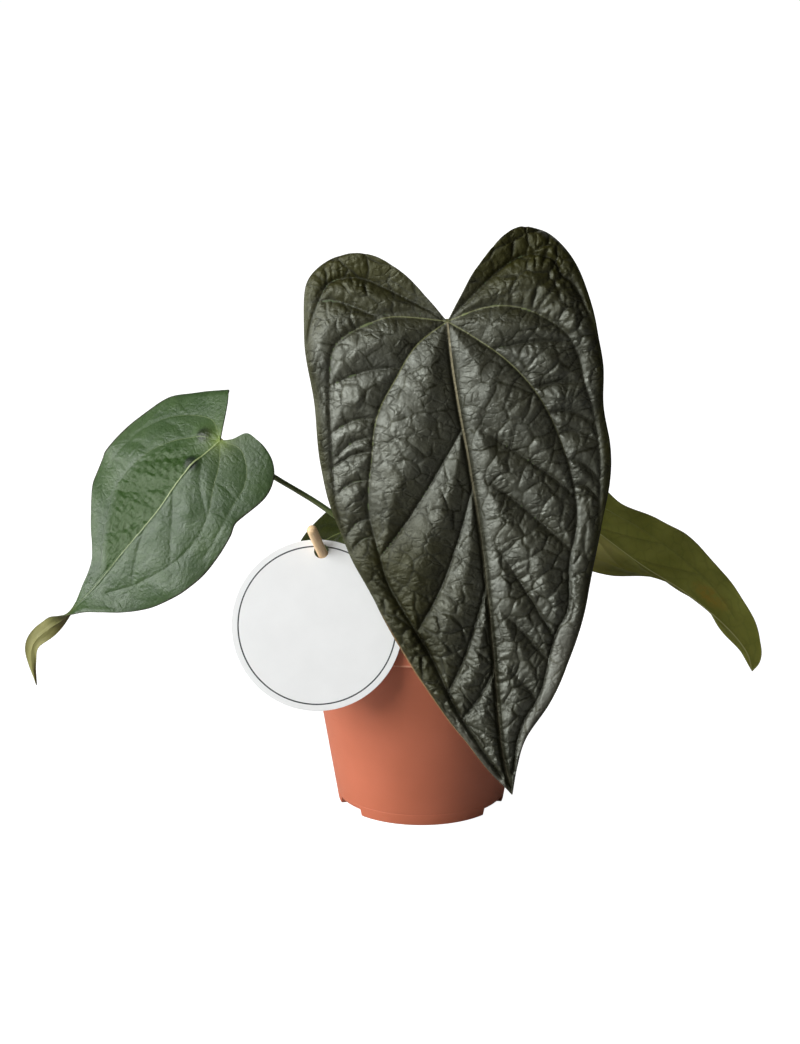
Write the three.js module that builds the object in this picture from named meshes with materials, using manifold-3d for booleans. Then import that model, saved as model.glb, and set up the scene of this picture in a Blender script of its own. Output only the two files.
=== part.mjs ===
// A potted queen of hearts anthurium: four heart-shaped quilted leaves on long stalks, potting mix, a
// nursery pot and a round blank tag on a wooden stick. Millimetres, +Z up, the plant's front towards -Y.
// The sizes below are laid out from the pot's base centre, and PLACE then brings the middle of the whole
// plant's box, in plan, over the origin.
import * as THREE from "three";
import { mergeVertices } from "three/addons/utils/BufferGeometryUtils.js";
import Module from "manifold-3d";

const wasm = await Module();
wasm.setup();

const PLACE = [11.33, 15.64, 0];

// Driving dimensions of the pot
const POT_HEIGHT = 105;
const RIM_RADIUS = 60;
const RIM_BAND = 12.5;
const RIM_LIP = 2;
const WALL_TOP_RADIUS = 58;
const BASE_RADIUS = 42.5;
const WALL = 1.5;
const RIM_CHAMFER = 0.8;
const FOOT_HEIGHT = 4;
const FOOT_WIDTH = 3;
const FLOOR_TOP = FOOT_HEIGHT + WALL;
const NOTCH_ANGLES = [-28, -150, 90];
const NOTCH_WIDTH = 20;
const NOTCH_HEIGHT = 3.5;
const DRAIN_RADIUS = 4;
const DRAIN_CIRCLE = 27;
const DRAIN_COUNT = 6;
const POT_SIDES = 48;

// Potting mix
const GAP = 0.3;
const SOIL_TOP = 93;
const SOIL_CROWNING = [20, 94.5, 95];
const STEM_HOLE_RADIUS = 8.7;
const CHIP_COUNT = 34;
const CHIP_SIZE = [4, 7];
const CHIP_REACH = 52;
const GOLDEN_ANGLE = 2.39996;
const SOIL_SEED = 11;

// Stem and stalks
const CROWN = { x: 2, y: 5, radius: 7.5, bottom: 66, top: 105 };
const SHEATH = { count: 4, halfSize: [5, 1.6, 12], lean: -4, middle: 97, firstAngle: 50 };
const STALK_RADIUS = 1.7;
const STALK_SIDES = 8;
const STALK_STEPS = 16;
const STALK_SQUARE_END = 4;

// Stick and tag
const STICK_RADIUS = 2.5;
const STICK_FOOT = [-24, 13.5, 64.5];
const STICK_TOP = [-54.2, -59.2, 162.1];
const TAG_RADIUS = 42;
const TAG_THICKNESS = 0.8;
const TAG_CENTRE = [-51.5, -57.9, 111.6];
const TAG_LEAN = 16.5;
const TAG_HOLE = [2.1, 36.4];
const TAG_HOLE_RADIUS = 3.6;

// Leaf blades
const BLADE = 0.8;
const OUTLINE_STEPS = 12;
const VEIN_STEPS = 6;
const CURL_LIMIT = 0.7 * Math.PI;
const VEIN_LEAD_START = 4;
const VEIN_LEAD_END = 30;

// A leaf is drawn flat, as p along the midrib from the stalk and q across it, and then laid on its spine.
// spine: x, y, z and roll in degrees; the second point carries the stalk.
// bend: p, slope of the half blade at the midrib in degrees and how much it curls back over 100 mm.
// outline: p and q of one half, from the notch round the lobe to the tip.
const LEAVES = {
  leaf_front: {
    color: 0x2c332e,
    rows: 42,
    lobeRows: 8,
    columns: 12,
    facing: [0, -1, 0.25],
    spine: [
      [8, -12, 309, 0], [12, -36, 259, 0], [16, -45, 228, 0], [22, -53, 196, 0], [28, -62, 161, 0],
      [32, -72, 128.5, 0], [35, -80, 96, 0], [38, -90, 62, 0], [43.5, -95, 37.5, 0],
    ],
    left: {
      bend: [[-60, -4, 22], [0, -6, 26], [120, -4, 24], [230, 0, 10]],
      outline: [
        [0, 0], [-11.3, 8.6], [-23.3, 18.8], [-33.2, 32], [-36.2, 44], [-35.3, 54.1], [-28.2, 64.2],
        [-18, 68.6], [2, 70.2], [33, 69.4], [58, 71.8], [82, 69.7], [106, 64.5], [131, 55.3], [156, 45],
        [175, 35], [192, 25], [206, 15], [221, 6.5], [232, 0],
      ],
      collective: [
        [
          [0, 0], [10, 16], [24, 28], [40, 40], [58, 46], [84, 52], [108, 50], [125, 47], [145, 38],
          [162, 30], [186, 21], [207, 10], [222, 3],
        ],
        [[0, 0], [-4, 22], [-3, 35], [5, 54], [20, 60], [42, 63], [62, 66], [86, 67], [104, 64]],
        [[-2, 2], [-15, 23], [-24, 40], [-24, 54], [-16, 61], [-6, 66], [4, 69]],
      ],
      laterals: [[52, 109, 4], [80, 149, 9], [128, 180, 6], [170, 193, 3]],
      crossings: [[8, 15], [17, 23], [29, 33], [40, 43], [48, 50], [55, 58], [69, 75], [88, 96], [98, 104]],
    },
    right: {
      bend: [[-60, -4, 20], [0, -6, 22], [120, -4, 22], [230, 0, 10]],
      outline: [
        [0, 0], [-10.7, 7], [-24.5, 16.3], [-39.4, 30.6], [-43.6, 42], [-40.2, 53.1], [-27.8, 62.7],
        [-9, 69.7], [14, 72.1], [31, 73], [53, 69.7], [72, 69.2], [90, 66.2], [108, 58.6], [131, 50.9],
        [154, 42.9], [171, 35], [189, 25], [205, 12.6], [219, 5.7], [232, 0],
      ],
      collective: [
        [
          [0, 0], [9, 12], [21, 25], [37, 36], [59, 44], [85, 48], [104, 47], [122, 41], [143, 38],
          [157, 30], [183, 21], [198, 11], [221, 3],
        ],
        [[0, 0], [-5, 19], [-3, 37], [9, 54], [24, 61], [41, 62], [59, 64], [84, 62], [106, 58]],
        [[-2, 2], [-14, 16], [-24, 28], [-30, 41], [-27, 53], [-19, 57], [-12, 64], [8, 70]],
      ],
      laterals: [[47, 93, 1], [71, 117, 2], [96, 157, 4], [135, 168, 1], [159, 186, 2]],
      crossings: [[16, 18], [33, 41], [53, 59], [63, 68], [77, 82], [88, 92]],
    },
    relief: { main: 3, mainReach: 5, wave: 1.0, wavelength: 34 },
  },
  leaf_left: {
    color: 0x4a6a45,
    rows: 30,
    lobeRows: 6,
    columns: 8,
    facing: [-0.25, -0.75, 0.6],
    spine: [
      [-79, -2, 212, 0], [-100.5, -8, 192, 0], [-118, -14, 177, 0], [-132, -18, 158, 0], [-148, -20, 139, 0],
      [-165, -20, 118, 0], [-177.8, -20, 105.5, 65], [-186.7, -20, 97.5, 150], [-195, -20, 89, 175],
      [-196.3, -20, 78.5, 180], [-194.5, -20, 66.5, 180],
    ],
    curl: { from: [-16.4, -19], to: [-8.2, -29.2], radius: 6 },
    left: {
      bend: [[-30, 10, 25], [0, 8, 25], [60, 6, 30], [120, 4, 10], [170, 0, 0]],
      outline: [
        [0, 0], [-4.3, 3.7], [-16.2, 14.4], [-20.6, 21], [-23, 28.5], [-21.5, 35.5], [-16, 40], [-9, 42.6],
        [-1, 44.4], [12, 47.8], [24, 51.7], [36, 52.3], [50, 54], [62, 47.8], [70.8, 37.4], [79.3, 26.8],
        [84.8, 18.2], [90, 11.6], [96.5, 7.8], [103, 6.6], [112, 6.3], [125, 4.4], [136, 4], [148, 2.6],
        [156, 1.1], [164, 0],
      ],
      collective: [
        [[0, 0], [10, 14], [30, 28], [52, 32], [70, 22], [88, 5]],
        [[0, 0], [-4, 14], [6, 30], [24, 42], [44, 45]],
      ],
      laterals: [[12, 34, 3], [30, 56, 4], [52, 76, 3]],
      crossings: [[12, 14], [28, 30], [42, 42]],
    },
    right: {
      bend: [[-30, 10, 20], [0, 10, 20], [60, 6, 25], [120, 4, 10], [170, 0, 0]],
      outline: [
        [0, 0], [-5, 4], [-12, 7], [-13.5, 13], [-13.6, 19], [-11.8, 26.1], [-7.3, 32.3], [0, 36.7],
        [8, 38], [28, 37], [37, 38.8], [52, 39.8], [61, 39.2], [71.2, 36.9], [83, 31.2], [90, 26.3],
        [97, 19.8], [104, 12.3], [112, 6.2], [125, 4.8], [136, 5.4], [148, 3.3], [164, 0],
      ],
      collective: [
        [[0, 0], [12, 12], [34, 23], [56, 25], [78, 18], [96, 7]],
        [[0, 0], [-4, 12], [6, 26], [26, 31], [50, 34]],
      ],
      laterals: [[12, 36, 2], [34, 62, 3], [58, 84, 2]],
      crossings: [[16, 14], [32, 30], [46, 46]],
    },
    relief: { main: 1.8, mainReach: 4, wave: 0.8, wavelength: 30 },
  },
  leaf_right: {
    color: 0x4a5228,
    rows: 26,
    lobeRows: 5,
    columns: 6,
    facing: [0.2, 0.85, 0.5],
    spine: [
      [27, 20, 180.5, 0], [48, 24, 166, 0], [69, 28, 151, 0], [92.5, 32, 132, 0], [115, 34, 114.5, 0],
      [138, 34, 99.5, 0], [158, 31, 83, 0], [169.5, 28, 69.5, 0], [173, 26, 58.5, 0],
    ],
    left: {
      bend: [[-30, 0, 6], [0, 0, 6], [60, -2, 8], [120, -2, 4], [165, 0, 0]],
      outline: [
        [0, 0], [-8, 6], [-17, 14], [-21, 22], [-18, 30], [-8, 33], [10, 31], [30, 26.5], [45, 24.6],
        [56, 26.4], [72, 30.9], [85, 34.3], [97, 32.2], [114, 27.2], [131, 21.4], [145, 17], [156.5, 9.3],
        [165, 4.2], [168.5, 0],
      ],
      collective: [[[0, 0], [12, 12], [40, 15], [80, 20], [112, 16], [140, 8]]],
      laterals: [[20, 52, 2], [48, 84, 3], [78, 112, 2]],
      crossings: [],
    },
    right: {
      bend: [
        [-30, 0, 4], [0, -5, 4], [60, -7, 6], [85, -26, 6], [105, -44, 6], [130, -46, 0], [165, -20, 0],
      ],
      outline: [
        [0, 0], [-8, 6], [-17, 14], [-21, 24], [-18, 31], [-8, 36], [10, 38], [30, 38], [50, 38],
        [70, 37.5], [85, 34.9], [100, 30.4], [120, 22], [140, 14.6], [155, 7.8], [164, 2.6], [168.5, 0],
      ],
      collective: [[[0, 0], [12, 14], [40, 22], [80, 19], [112, 12], [140, 6]]],
      laterals: [[20, 52, 2], [48, 84, 3], [78, 112, 2]],
      crossings: [],
    },
    relief: { main: 1.2, mainReach: 5, wave: 0.7, wavelength: 30 },
  },
  leaf_back: {
    color: 0x2f4526,
    rows: 14,
    lobeRows: 4,
    columns: 5,
    facing: [-0.5, -0.45, 0.75],
    spine: [[-22, 8, 146, 0], [-33, 18, 139, 0], [-46, 28, 131, 0], [-59, 36, 119, 0], [-69, 42, 99, 0]],
    left: {
      bend: [[0, 8, 40], [70, 4, 20]],
      outline: [
        [0, 0], [-5, 4], [-10, 10], [-13, 17], [-8, 26], [5, 29.5], [20, 29.5], [35, 23.8], [49, 10],
        [60.5, 0],
      ],
      collective: [[[0, 0], [8, 9], [22, 13], [40, 9], [54, 3]]],
      laterals: [[8, 24, 1], [20, 38, 1]],
      crossings: [],
    },
    right: {
      bend: [[0, 8, 40], [70, 4, 20]],
      outline: [
        [0, 0], [-5, 4], [-9, 9], [-9, 15], [-4, 19], [6, 21], [20, 21], [35, 17], [50, 8], [60.5, 0],
      ],
      collective: [[[0, 0], [8, 9], [22, 13], [40, 9], [54, 3]]],
      laterals: [[8, 24, 1], [20, 38, 1]],
      crossings: [],
    },
    relief: { main: 0.8, mainReach: 3, wave: 0.4, wavelength: 20 },
  },
};

// Stalk paths from the stem to just behind each blade; the last point is set from the blade itself.
const STALKS = {
  stalk_front: {
    leaf: "leaf_front",
    path: [[3, 4, 90], [5, 8, 130], [9, 10, 190], [12, 1, 236], [12.5, -17, 254]],
  },
  stalk_left: {
    leaf: "leaf_left",
    path: [[-1.5, 4, 92], [-14, 2, 122], [-46, -1, 152.8], [-74, 1, 170.5], [-93, 3, 182]],
  },
  stalk_right: {
    leaf: "leaf_right",
    path: [[6.5, 6, 91], [13, 10, 122], [29, 14, 149], [42, 9, 158]],
  },
  stalk_back: {
    leaf: "leaf_back",
    path: [[0.5, 9, 93], [-6, 15, 113], [-20, 24, 125], [-28, 27, 130]],
  },
};

const vector = ([x, y, z = 0]) => new THREE.Vector3(x, y, z);
const radians = THREE.MathUtils.degToRad;

// A repeatable stream of numbers from 0 to 1
function seeded(seed) {
  let state = seed;
  return () => {
    state = (state * 1664525 + 1013904223) % 4294967296;
    return state / 4294967296;
  };
}

function smooth(points, divisions) {
  return new THREE.CatmullRomCurve3(points.map(vector), false, "catmullrom", 0.5).getPoints(
    divisions * (points.length - 1),
  );
}

// The value at x in rows that start with x
function between(rows, x, column) {
  const last = rows.length - 1;
  if (x <= rows[0][0]) return rows[0][column];
  if (x >= rows[last][0]) return rows[last][column];
  const i = rows.findIndex((row) => row[0] > x);
  const share = (x - rows[i - 1][0]) / (rows[i][0] - rows[i - 1][0]);
  return THREE.MathUtils.lerp(rows[i - 1][column], rows[i][column], share);
}

// Stations along a leaf's spine, each with its distance p, place, direction, across and outward vectors
function layOutSpine(leaf) {
  const STEPS = 60;
  const points = smooth(leaf.spine, STEPS);
  const rolls = smooth(leaf.spine.map((row, i) => [i, row[3], 0]), STEPS);
  const facing = vector(leaf.facing);
  let run = 0;
  const stations = points.map((place, i) => {
    if (i) run += place.distanceTo(points[i - 1]);
    const before = points[Math.max(i - 1, 0)];
    const after = points[Math.min(i + 1, points.length - 1)];
    const along = after.clone().sub(before).normalize();
    const across = facing.clone().cross(along).normalize();
    const roll = radians(rolls[i].y);
    across.applyAxisAngle(along, roll);
    return { p: run, place, across, outward: along.clone().cross(across) };
  });
  const start = stations[STEPS].p;
  stations.forEach((station) => {
    station.p -= start;
  });
  return stations;
}

function stationAt(stations, p) {
  let i = stations.findIndex((station) => station.p > p);
  if (i < 0) i = stations.length - 1;
  i = Math.max(i, 1);
  const [a, b] = [stations[i - 1], stations[i]];
  const share = THREE.MathUtils.clamp((p - a.p) / (b.p - a.p), 0, 1);
  return {
    place: a.place.clone().lerp(b.place, share),
    across: a.across.clone().lerp(b.across, share).normalize(),
    outward: a.outward.clone().lerp(b.outward, share).normalize(),
  };
}

// What lies beyond the curl line rolls back over its radius
function rolledBack(curl, p, q) {
  if (!curl) return [p, q, 0];
  const line = vector(curl.to).sub(vector(curl.from)).normalize();
  const beyond = new THREE.Vector3(-line.y, line.x, 0);
  if (beyond.x > 0) beyond.negate();
  const distance = (p - curl.from[0]) * beyond.x + (q - curl.from[1]) * beyond.y;
  if (distance <= 0) return [p, q, 0];
  const turn = Math.min(distance / curl.radius, CURL_LIMIT);
  const rest = distance - turn * curl.radius;
  const reach = curl.radius * Math.sin(turn) + rest * Math.cos(turn);
  const drop = curl.radius * (1 - Math.cos(turn)) + rest * Math.sin(turn);
  return [p + beyond.x * (reach - distance), q + beyond.y * (reach - distance), -drop];
}

// The place in space of a point p along and q across a leaf, raised by height
function onLeaf(leaf, stations, p, q, height) {
  const [along, across, drop] = rolledBack(leaf.curl, p, q);
  const side = across < 0 ? -1 : 1;
  const bend = (across < 0 ? leaf.left : leaf.right).bend;
  const slope = radians(between(bend, along, 1));
  const curve = radians(between(bend, along, 2)) / 100 + 1e-7;
  const end = slope + curve * Math.abs(across);
  const out = (Math.sin(end) - Math.sin(slope)) / curve;
  const down = (Math.cos(slope) - Math.cos(end)) / curve;
  const at = stationAt(stations, along);
  const normal = at.outward.clone().multiplyScalar(Math.cos(end));
  normal.addScaledVector(at.across, side * Math.sin(end));
  const place = at.place.addScaledVector(at.across, side * out).addScaledVector(at.outward, -down);
  return place.addScaledVector(normal, height + drop);
}

// One half's outline as its inner edge (midrib or notch side) and its outer margin, both as q over p
function margins(half) {
  const points = smooth(half.outline, OUTLINE_STEPS);
  const apex = points.reduce((best, point, i) => (point.x < points[best].x ? i : best), 0);
  const asRow = (point) => [point.x, Math.max(point.y, 0)];
  const length = points[points.length - 1].x;
  return {
    lobe: -points[apex].x,
    length,
    inner: points.slice(0, apex + 1).map(asRow).reverse(),
    outer: points.slice(apex).map(asRow),
  };
}

// The veins of one half as polylines, q positive
function veinsOf(half, length) {
  const asRow = (point) => [point.x, point.y];
  const veins = half.collective.map((line) => smooth(line, VEIN_STEPS));
  const inner = veins[0].map(asRow);
  const outer = veins[1] && veins[1].map(asRow);
  veins.push([new THREE.Vector3(0, 0, 0), new THREE.Vector3(length, 0, 0)]);
  for (const [from, to, bow] of half.laterals) {
    const end = between(inner, to, 1);
    const middle = [(from + to) / 2 + bow, end * 0.55];
    veins.push(smooth([[from, 0], middle, [to, end]], VEIN_STEPS));
  }
  for (const [from, to] of half.crossings) {
    const start = [from, between(inner, from, 1)];
    const end = [to, between(outer, to, 1)];
    veins.push(smooth([start, [(2 * from + to) / 3, (start[1] + end[1]) / 2], end], VEIN_STEPS));
  }
  return veins;
}

function distanceToVeins(veins, p, q) {
  const point = new THREE.Vector3(p, q, 0);
  const segment = new THREE.Line3();
  const nearest = new THREE.Vector3();
  let best = Infinity;
  for (const vein of veins) {
    for (let i = 1; i < vein.length; i += 1) {
      segment.set(vein[i - 1], vein[i]).closestPointToPoint(point, true, nearest);
      best = Math.min(best, nearest.distanceTo(point));
    }
  }
  return best;
}

// The height of the quilted surface over its veins, with a wave that grows towards the margin
function quilt(relief, veins, p, q, share) {
  const pillow = relief.main * (1 - Math.exp(-distanceToVeins(veins, p, q) / relief.mainReach));
  const wave = relief.wave * share ** 3 * Math.sin((2 * Math.PI * p) / relief.wavelength);
  return pillow * (1 - share ** 8) + wave;
}

// How far across a column lies: evenly spread in the lobes, and led by the collective vein below them
function columnPlace(leaf, half, p, share, inner, outer) {
  const even = THREE.MathUtils.lerp(inner, outer, share);
  const vein = Math.min(between(half.collective[0], p, 1), 0.8 * outer);
  const led = share < 0.5 ? 2 * share * vein : THREE.MathUtils.lerp(vein, outer, 2 * share - 1);
  return THREE.MathUtils.lerp(even, led, THREE.MathUtils.smoothstep(p, VEIN_LEAD_START, VEIN_LEAD_END));
}

// A closed blade: rows across the leaf, each half from its inner edge to its margin, with the halves joined
// along the midrib, and the same triangles on both faces.
function bladeGeometry(leaf) {
  const stations = layOutSpine(leaf);
  const top = [];
  const triangles = [];
  const midrib = new Map();
  let tip = -1;
  for (const [side, half] of [[-1, leaf.left], [1, leaf.right]]) {
    const edge = margins(half);
    const veins = veinsOf(half, edge.length);
    const rowPlaces = [];
    for (let i = 0; i < leaf.lobeRows; i += 1) rowPlaces.push(-edge.lobe * (1 - (i / leaf.lobeRows) ** 2));
    for (let i = 0; i <= leaf.rows; i += 1) rowPlaces.push((edge.length * i) / leaf.rows);
    const rows = rowPlaces.map((p, i) => {
      const isTip = i === rowPlaces.length - 1;
      if (isTip && tip >= 0) return new Array(leaf.columns + 1).fill(tip);
      const inner = p < 0 ? between(edge.inner, p, 1) : 0;
      const outer = between(edge.outer, p, 1);
      const row = [];
      for (let j = 0; j <= leaf.columns; j += 1) {
        if (row.length && (i === 0 || isTip)) {
          row.push(row[0]);
          continue;
        }
        if (j === 0 && p >= 0 && midrib.has(p)) {
          row.push(midrib.get(p));
          continue;
        }
        const q = columnPlace(leaf, half, p, j / leaf.columns, inner, outer);
        const share = outer > 0 ? Math.min(q / outer, 1) : 0;
        top.push(onLeaf(leaf, stations, p, side * q, quilt(leaf.relief, veins, p, q, share)));
        row.push(top.length - 1);
        if (j === 0 && p >= 0) midrib.set(p, top.length - 1);
      }
      if (isTip) tip = row[0];
      return row;
    });
    for (let i = 1; i < rows.length; i += 1) {
      for (let j = 1; j <= leaf.columns; j += 1) {
        const [a, b, c, d] = [rows[i - 1][j - 1], rows[i - 1][j], rows[i][j], rows[i][j - 1]];
        const cut = (i + j) % 2 ? [[a, b, c], [a, c, d]] : [[a, b, d], [b, c, d]];
        for (const [u, v, w] of cut) {
          if (u === v || v === w || w === u) continue;
          triangles.push(side < 0 ? [u, v, w] : [u, w, v]);
        }
      }
    }
  }
  return thickened(top, triangles, BLADE);
}

// A sheet of triangles given thickness behind its face and closed round its edge
function thickened(top, triangles, thickness) {
  const normals = top.map(() => new THREE.Vector3());
  const face = new THREE.Triangle();
  for (const [a, b, c] of triangles) {
    face.set(top[a], top[b], top[c]);
    const weighted = face.getNormal(new THREE.Vector3()).multiplyScalar(face.getArea());
    for (const corner of [a, b, c]) normals[corner].add(weighted);
  }
  const under = top.map((place, i) => place.clone().addScaledVector(normals[i].normalize(), -thickness));
  const count = top.length;
  const index = [];
  const open = new Map();
  for (const [a, b, c] of triangles) {
    index.push(a, b, c, c + count, b + count, a + count);
    for (const [from, to] of [[a, b], [b, c], [c, a]]) {
      if (!open.delete(`${to} ${from}`)) open.set(`${from} ${to}`, [from, to]);
    }
  }
  for (const [from, to] of open.values()) {
    index.push(to, from, from + count, to, from + count, to + count);
  }
  const geometry = new THREE.BufferGeometry().setFromPoints([...top, ...under]);
  geometry.setIndex(index);
  return geometry;
}

// Solids for joining and cutting
function solid(geometry) {
  const bare = geometry.clone();
  bare.deleteAttribute("normal");
  bare.deleteAttribute("uv");
  const merged = mergeVertices(bare, 1e-4);
  return new wasm.Manifold(
    new wasm.Mesh({
      numProp: 3,
      vertProperties: new Float32Array(merged.attributes.position.array),
      triVerts: new Uint32Array(merged.index.array),
    }),
  );
}

function geometryOf(shape) {
  const { vertProperties, triVerts } = shape.getMesh();
  const geometry = new THREE.BufferGeometry();
  geometry.setAttribute("position", new THREE.BufferAttribute(new Float32Array(vertProperties), 3));
  geometry.setIndex(new THREE.BufferAttribute(new Uint32Array(triVerts), 1));
  return geometry;
}

// A lathe about +Z from [radius, height] pairs
function turned(profile, sides) {
  const points = profile.map(([radius, height]) => new THREE.Vector2(radius, height));
  return new THREE.LatheGeometry(points, sides).rotateX(Math.PI / 2);
}

function rod(from, to, radius, sides) {
  const [start, end] = [vector(from), vector(to)];
  const along = end.clone().sub(start);
  const geometry = new THREE.CylinderGeometry(radius, radius, along.length(), sides);
  const upright = new THREE.Vector3(0, 1, 0);
  geometry.applyQuaternion(new THREE.Quaternion().setFromUnitVectors(upright, along.normalize()));
  const middle = start.add(end).multiplyScalar(0.5);
  return geometry.translate(middle.x, middle.y, middle.z);
}

function tube(points, radius, sides, steps) {
  const section = new THREE.Shape(
    Array.from({ length: sides }, (_, i) => {
      const angle = (2 * Math.PI * i) / sides;
      return new THREE.Vector2(radius * Math.cos(angle), radius * Math.sin(angle));
    }),
  );
  const path = new THREE.CatmullRomCurve3(points.map(vector));
  return new THREE.ExtrudeGeometry(section, { steps, extrudePath: path });
}

function wallRadius(z) {
  return THREE.MathUtils.mapLinear(z, 0, POT_HEIGHT - RIM_BAND, BASE_RADIUS, WALL_TOP_RADIUS);
}

function makePot() {
  const bandFoot = POT_HEIGHT - RIM_BAND;
  const inside = wallRadius(FLOOR_TOP) - WALL;
  const lip = RIM_RADIUS - RIM_LIP;
  const shell = solid(
    turned(
      [
        [0, FOOT_HEIGHT],
        [BASE_RADIUS - FOOT_WIDTH, FOOT_HEIGHT],
        [BASE_RADIUS - FOOT_WIDTH, 0],
        [BASE_RADIUS, 0],
        [WALL_TOP_RADIUS, bandFoot],
        [RIM_RADIUS - RIM_CHAMFER / 2, bandFoot + RIM_CHAMFER],
        [RIM_RADIUS, POT_HEIGHT - RIM_CHAMFER],
        [RIM_RADIUS - RIM_CHAMFER, POT_HEIGHT],
        [lip, POT_HEIGHT],
        [lip - RIM_CHAMFER / 2, bandFoot + RIM_CHAMFER],
        [WALL_TOP_RADIUS - WALL, bandFoot - RIM_CHAMFER],
        [inside, FLOOR_TOP],
        [0, FLOOR_TOP],
      ],
      POT_SIDES,
    ),
  );
  let pot = shell;
  for (const angle of NOTCH_ANGLES) {
    const notch = new THREE.BoxGeometry(3 * FOOT_WIDTH, NOTCH_WIDTH, 2 * NOTCH_HEIGHT);
    notch.translate(BASE_RADIUS, 0, 0).rotateZ(radians(angle));
    pot = pot.subtract(solid(notch));
  }
  for (let i = 0; i < DRAIN_COUNT; i += 1) {
    const drain = new THREE.CylinderGeometry(DRAIN_RADIUS, DRAIN_RADIUS, 4 * FOOT_HEIGHT, 16);
    drain.rotateX(Math.PI / 2).translate(DRAIN_CIRCLE, 0, 0);
    drain.rotateZ((2 * Math.PI * (i + 0.5)) / DRAIN_COUNT);
    pot = pot.subtract(solid(drain));
  }
  return geometryOf(pot);
}

function makeCrown() {
  const { x, y, radius, bottom, top } = CROWN;
  const profile = [
    [0, bottom], [radius * 0.6, bottom + 1], [radius, bottom + 8], [radius * 1.02, 92],
    [radius * 0.86, 96], [radius * 0.9, 100], [radius * 0.6, top - 1], [0, top],
  ];
  let crown = solid(turned(profile, 16).translate(x, y, 0));
  const { count, halfSize, lean, middle, firstAngle } = SHEATH;
  for (let i = 0; i < count; i += 1) {
    const sheath = new THREE.SphereGeometry(1, 8, 6).scale(...halfSize).rotateX(radians(lean));
    sheath.translate(0, radius * 0.9, middle).rotateZ(radians(firstAngle + (360 * i) / count));
    sheath.translate(x, y, 0);
    crown = crown.add(solid(sheath));
  }
  for (const { path } of Object.values(STALKS)) {
    const foot = vector(path[0]);
    foot.addScaledVector(vector(path[1]).sub(foot).normalize(), -GAP);
    const socket = tube([foot.toArray(), ...path.slice(1)], STALK_RADIUS + GAP, STALK_SIDES, STALK_STEPS);
    crown = crown.subtract(solid(socket));
  }
  return geometryOf(crown);
}

function makeSoil() {
  const draw = seeded(SOIL_SEED);
  const bottom = FLOOR_TOP + GAP;
  const wall = (z) => wallRadius(z) - WALL - GAP;
  const shoulder = SOIL_TOP - 3;
  const [crowningRadius, crowningTop, middleTop] = SOIL_CROWNING;
  const profile = [
    [0, bottom], [wall(bottom) - 1, bottom], [wall(bottom + 1), bottom + 1], [wall(shoulder), shoulder],
    [wall(shoulder) - 2, SOIL_TOP], [crowningRadius, crowningTop], [0, middleTop],
  ];
  let soil = solid(turned(profile, 32));
  const chips = Array.from({ length: CHIP_COUNT }, (_, i) => {
    const size = THREE.MathUtils.lerp(...CHIP_SIZE, draw());
    const reach = CHIP_REACH * Math.sqrt((i + 0.5) / CHIP_COUNT);
    const angle = i * GOLDEN_ANGLE;
    const bark = new THREE.BoxGeometry(1.7 * size, 1.1 * size, 0.7 * size);
    const grit = new THREE.OctahedronGeometry(0.7 * size, 0);
    const chip = i % 4 ? bark : grit;
    chip.rotateX(draw() * 0.6).rotateY(draw() * 0.6).rotateZ(draw() * Math.PI);
    const distance = Math.min(reach, wall(SOIL_TOP) - size - 1);
    return solid(chip.translate(distance * Math.cos(angle), distance * Math.sin(angle), SOIL_TOP + 0.4));
  });
  soil = wasm.Manifold.union([soil, ...chips]);
  const { x, y } = CROWN;
  const stemFoot = [x, y, CROWN.bottom - GAP];
  soil = soil.subtract(solid(rod(stemFoot, [x, y, POT_HEIGHT], STEM_HOLE_RADIUS, 24)));
  soil = soil.subtract(solid(rod(STICK_FOOT, STICK_TOP, STICK_RADIUS + GAP, 12)));
  const bodies = soil.decompose().sort((a, b) => b.volume() - a.volume());
  return geometryOf(bodies[0]);
}

function makeStick() {
  const along = vector(STICK_TOP).sub(vector(STICK_FOOT));
  const length = along.length();
  const r = STICK_RADIUS;
  const rounded = [0, 30, 60, 90].map((angle) => {
    return [r * Math.cos(radians(angle)), length - r + r * Math.sin(radians(angle))];
  });
  rounded[3][0] = 0;
  const stick = turned([[0, GAP], [r, GAP], ...rounded], 12);
  const upright = new THREE.Vector3(0, 0, 1);
  stick.applyQuaternion(new THREE.Quaternion().setFromUnitVectors(upright, along.normalize()));
  return stick.translate(...STICK_FOOT);
}

function makeTag() {
  const card = new THREE.Shape().absarc(0, 0, TAG_RADIUS, 0, 2 * Math.PI);
  card.holes.push(new THREE.Path().absarc(...TAG_HOLE, TAG_HOLE_RADIUS, 0, 2 * Math.PI));
  const settings = { depth: TAG_THICKNESS, bevelEnabled: false, curveSegments: 28 };
  const tag = new THREE.ExtrudeGeometry(card, settings);
  tag.translate(0, 0, -TAG_THICKNESS / 2).rotateX(radians(90 - TAG_LEAN));
  return tag.translate(...TAG_CENTRE);
}

// A stalk runs out of the stem and ends square against the back of its blade
function makeStalk({ leaf, path }) {
  const blade = LEAVES[leaf];
  const root = stationAt(layOutSpine(blade), 0);
  const end = root.place.addScaledVector(root.outward, -BLADE - GAP);
  const before = end.clone().addScaledVector(root.outward, -STALK_SQUARE_END);
  return tube([...path, before.toArray(), end.toArray()], STALK_RADIUS, STALK_SIDES, STALK_STEPS);
}

const plant = new THREE.Group();

function add(name, geometry, color, roughness) {
  const material = new THREE.MeshStandardMaterial({ color, roughness, metalness: 0 });
  const mesh = new THREE.Mesh(geometry.translate(...PLACE), material);
  mesh.name = name;
  plant.add(mesh);
}

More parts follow.
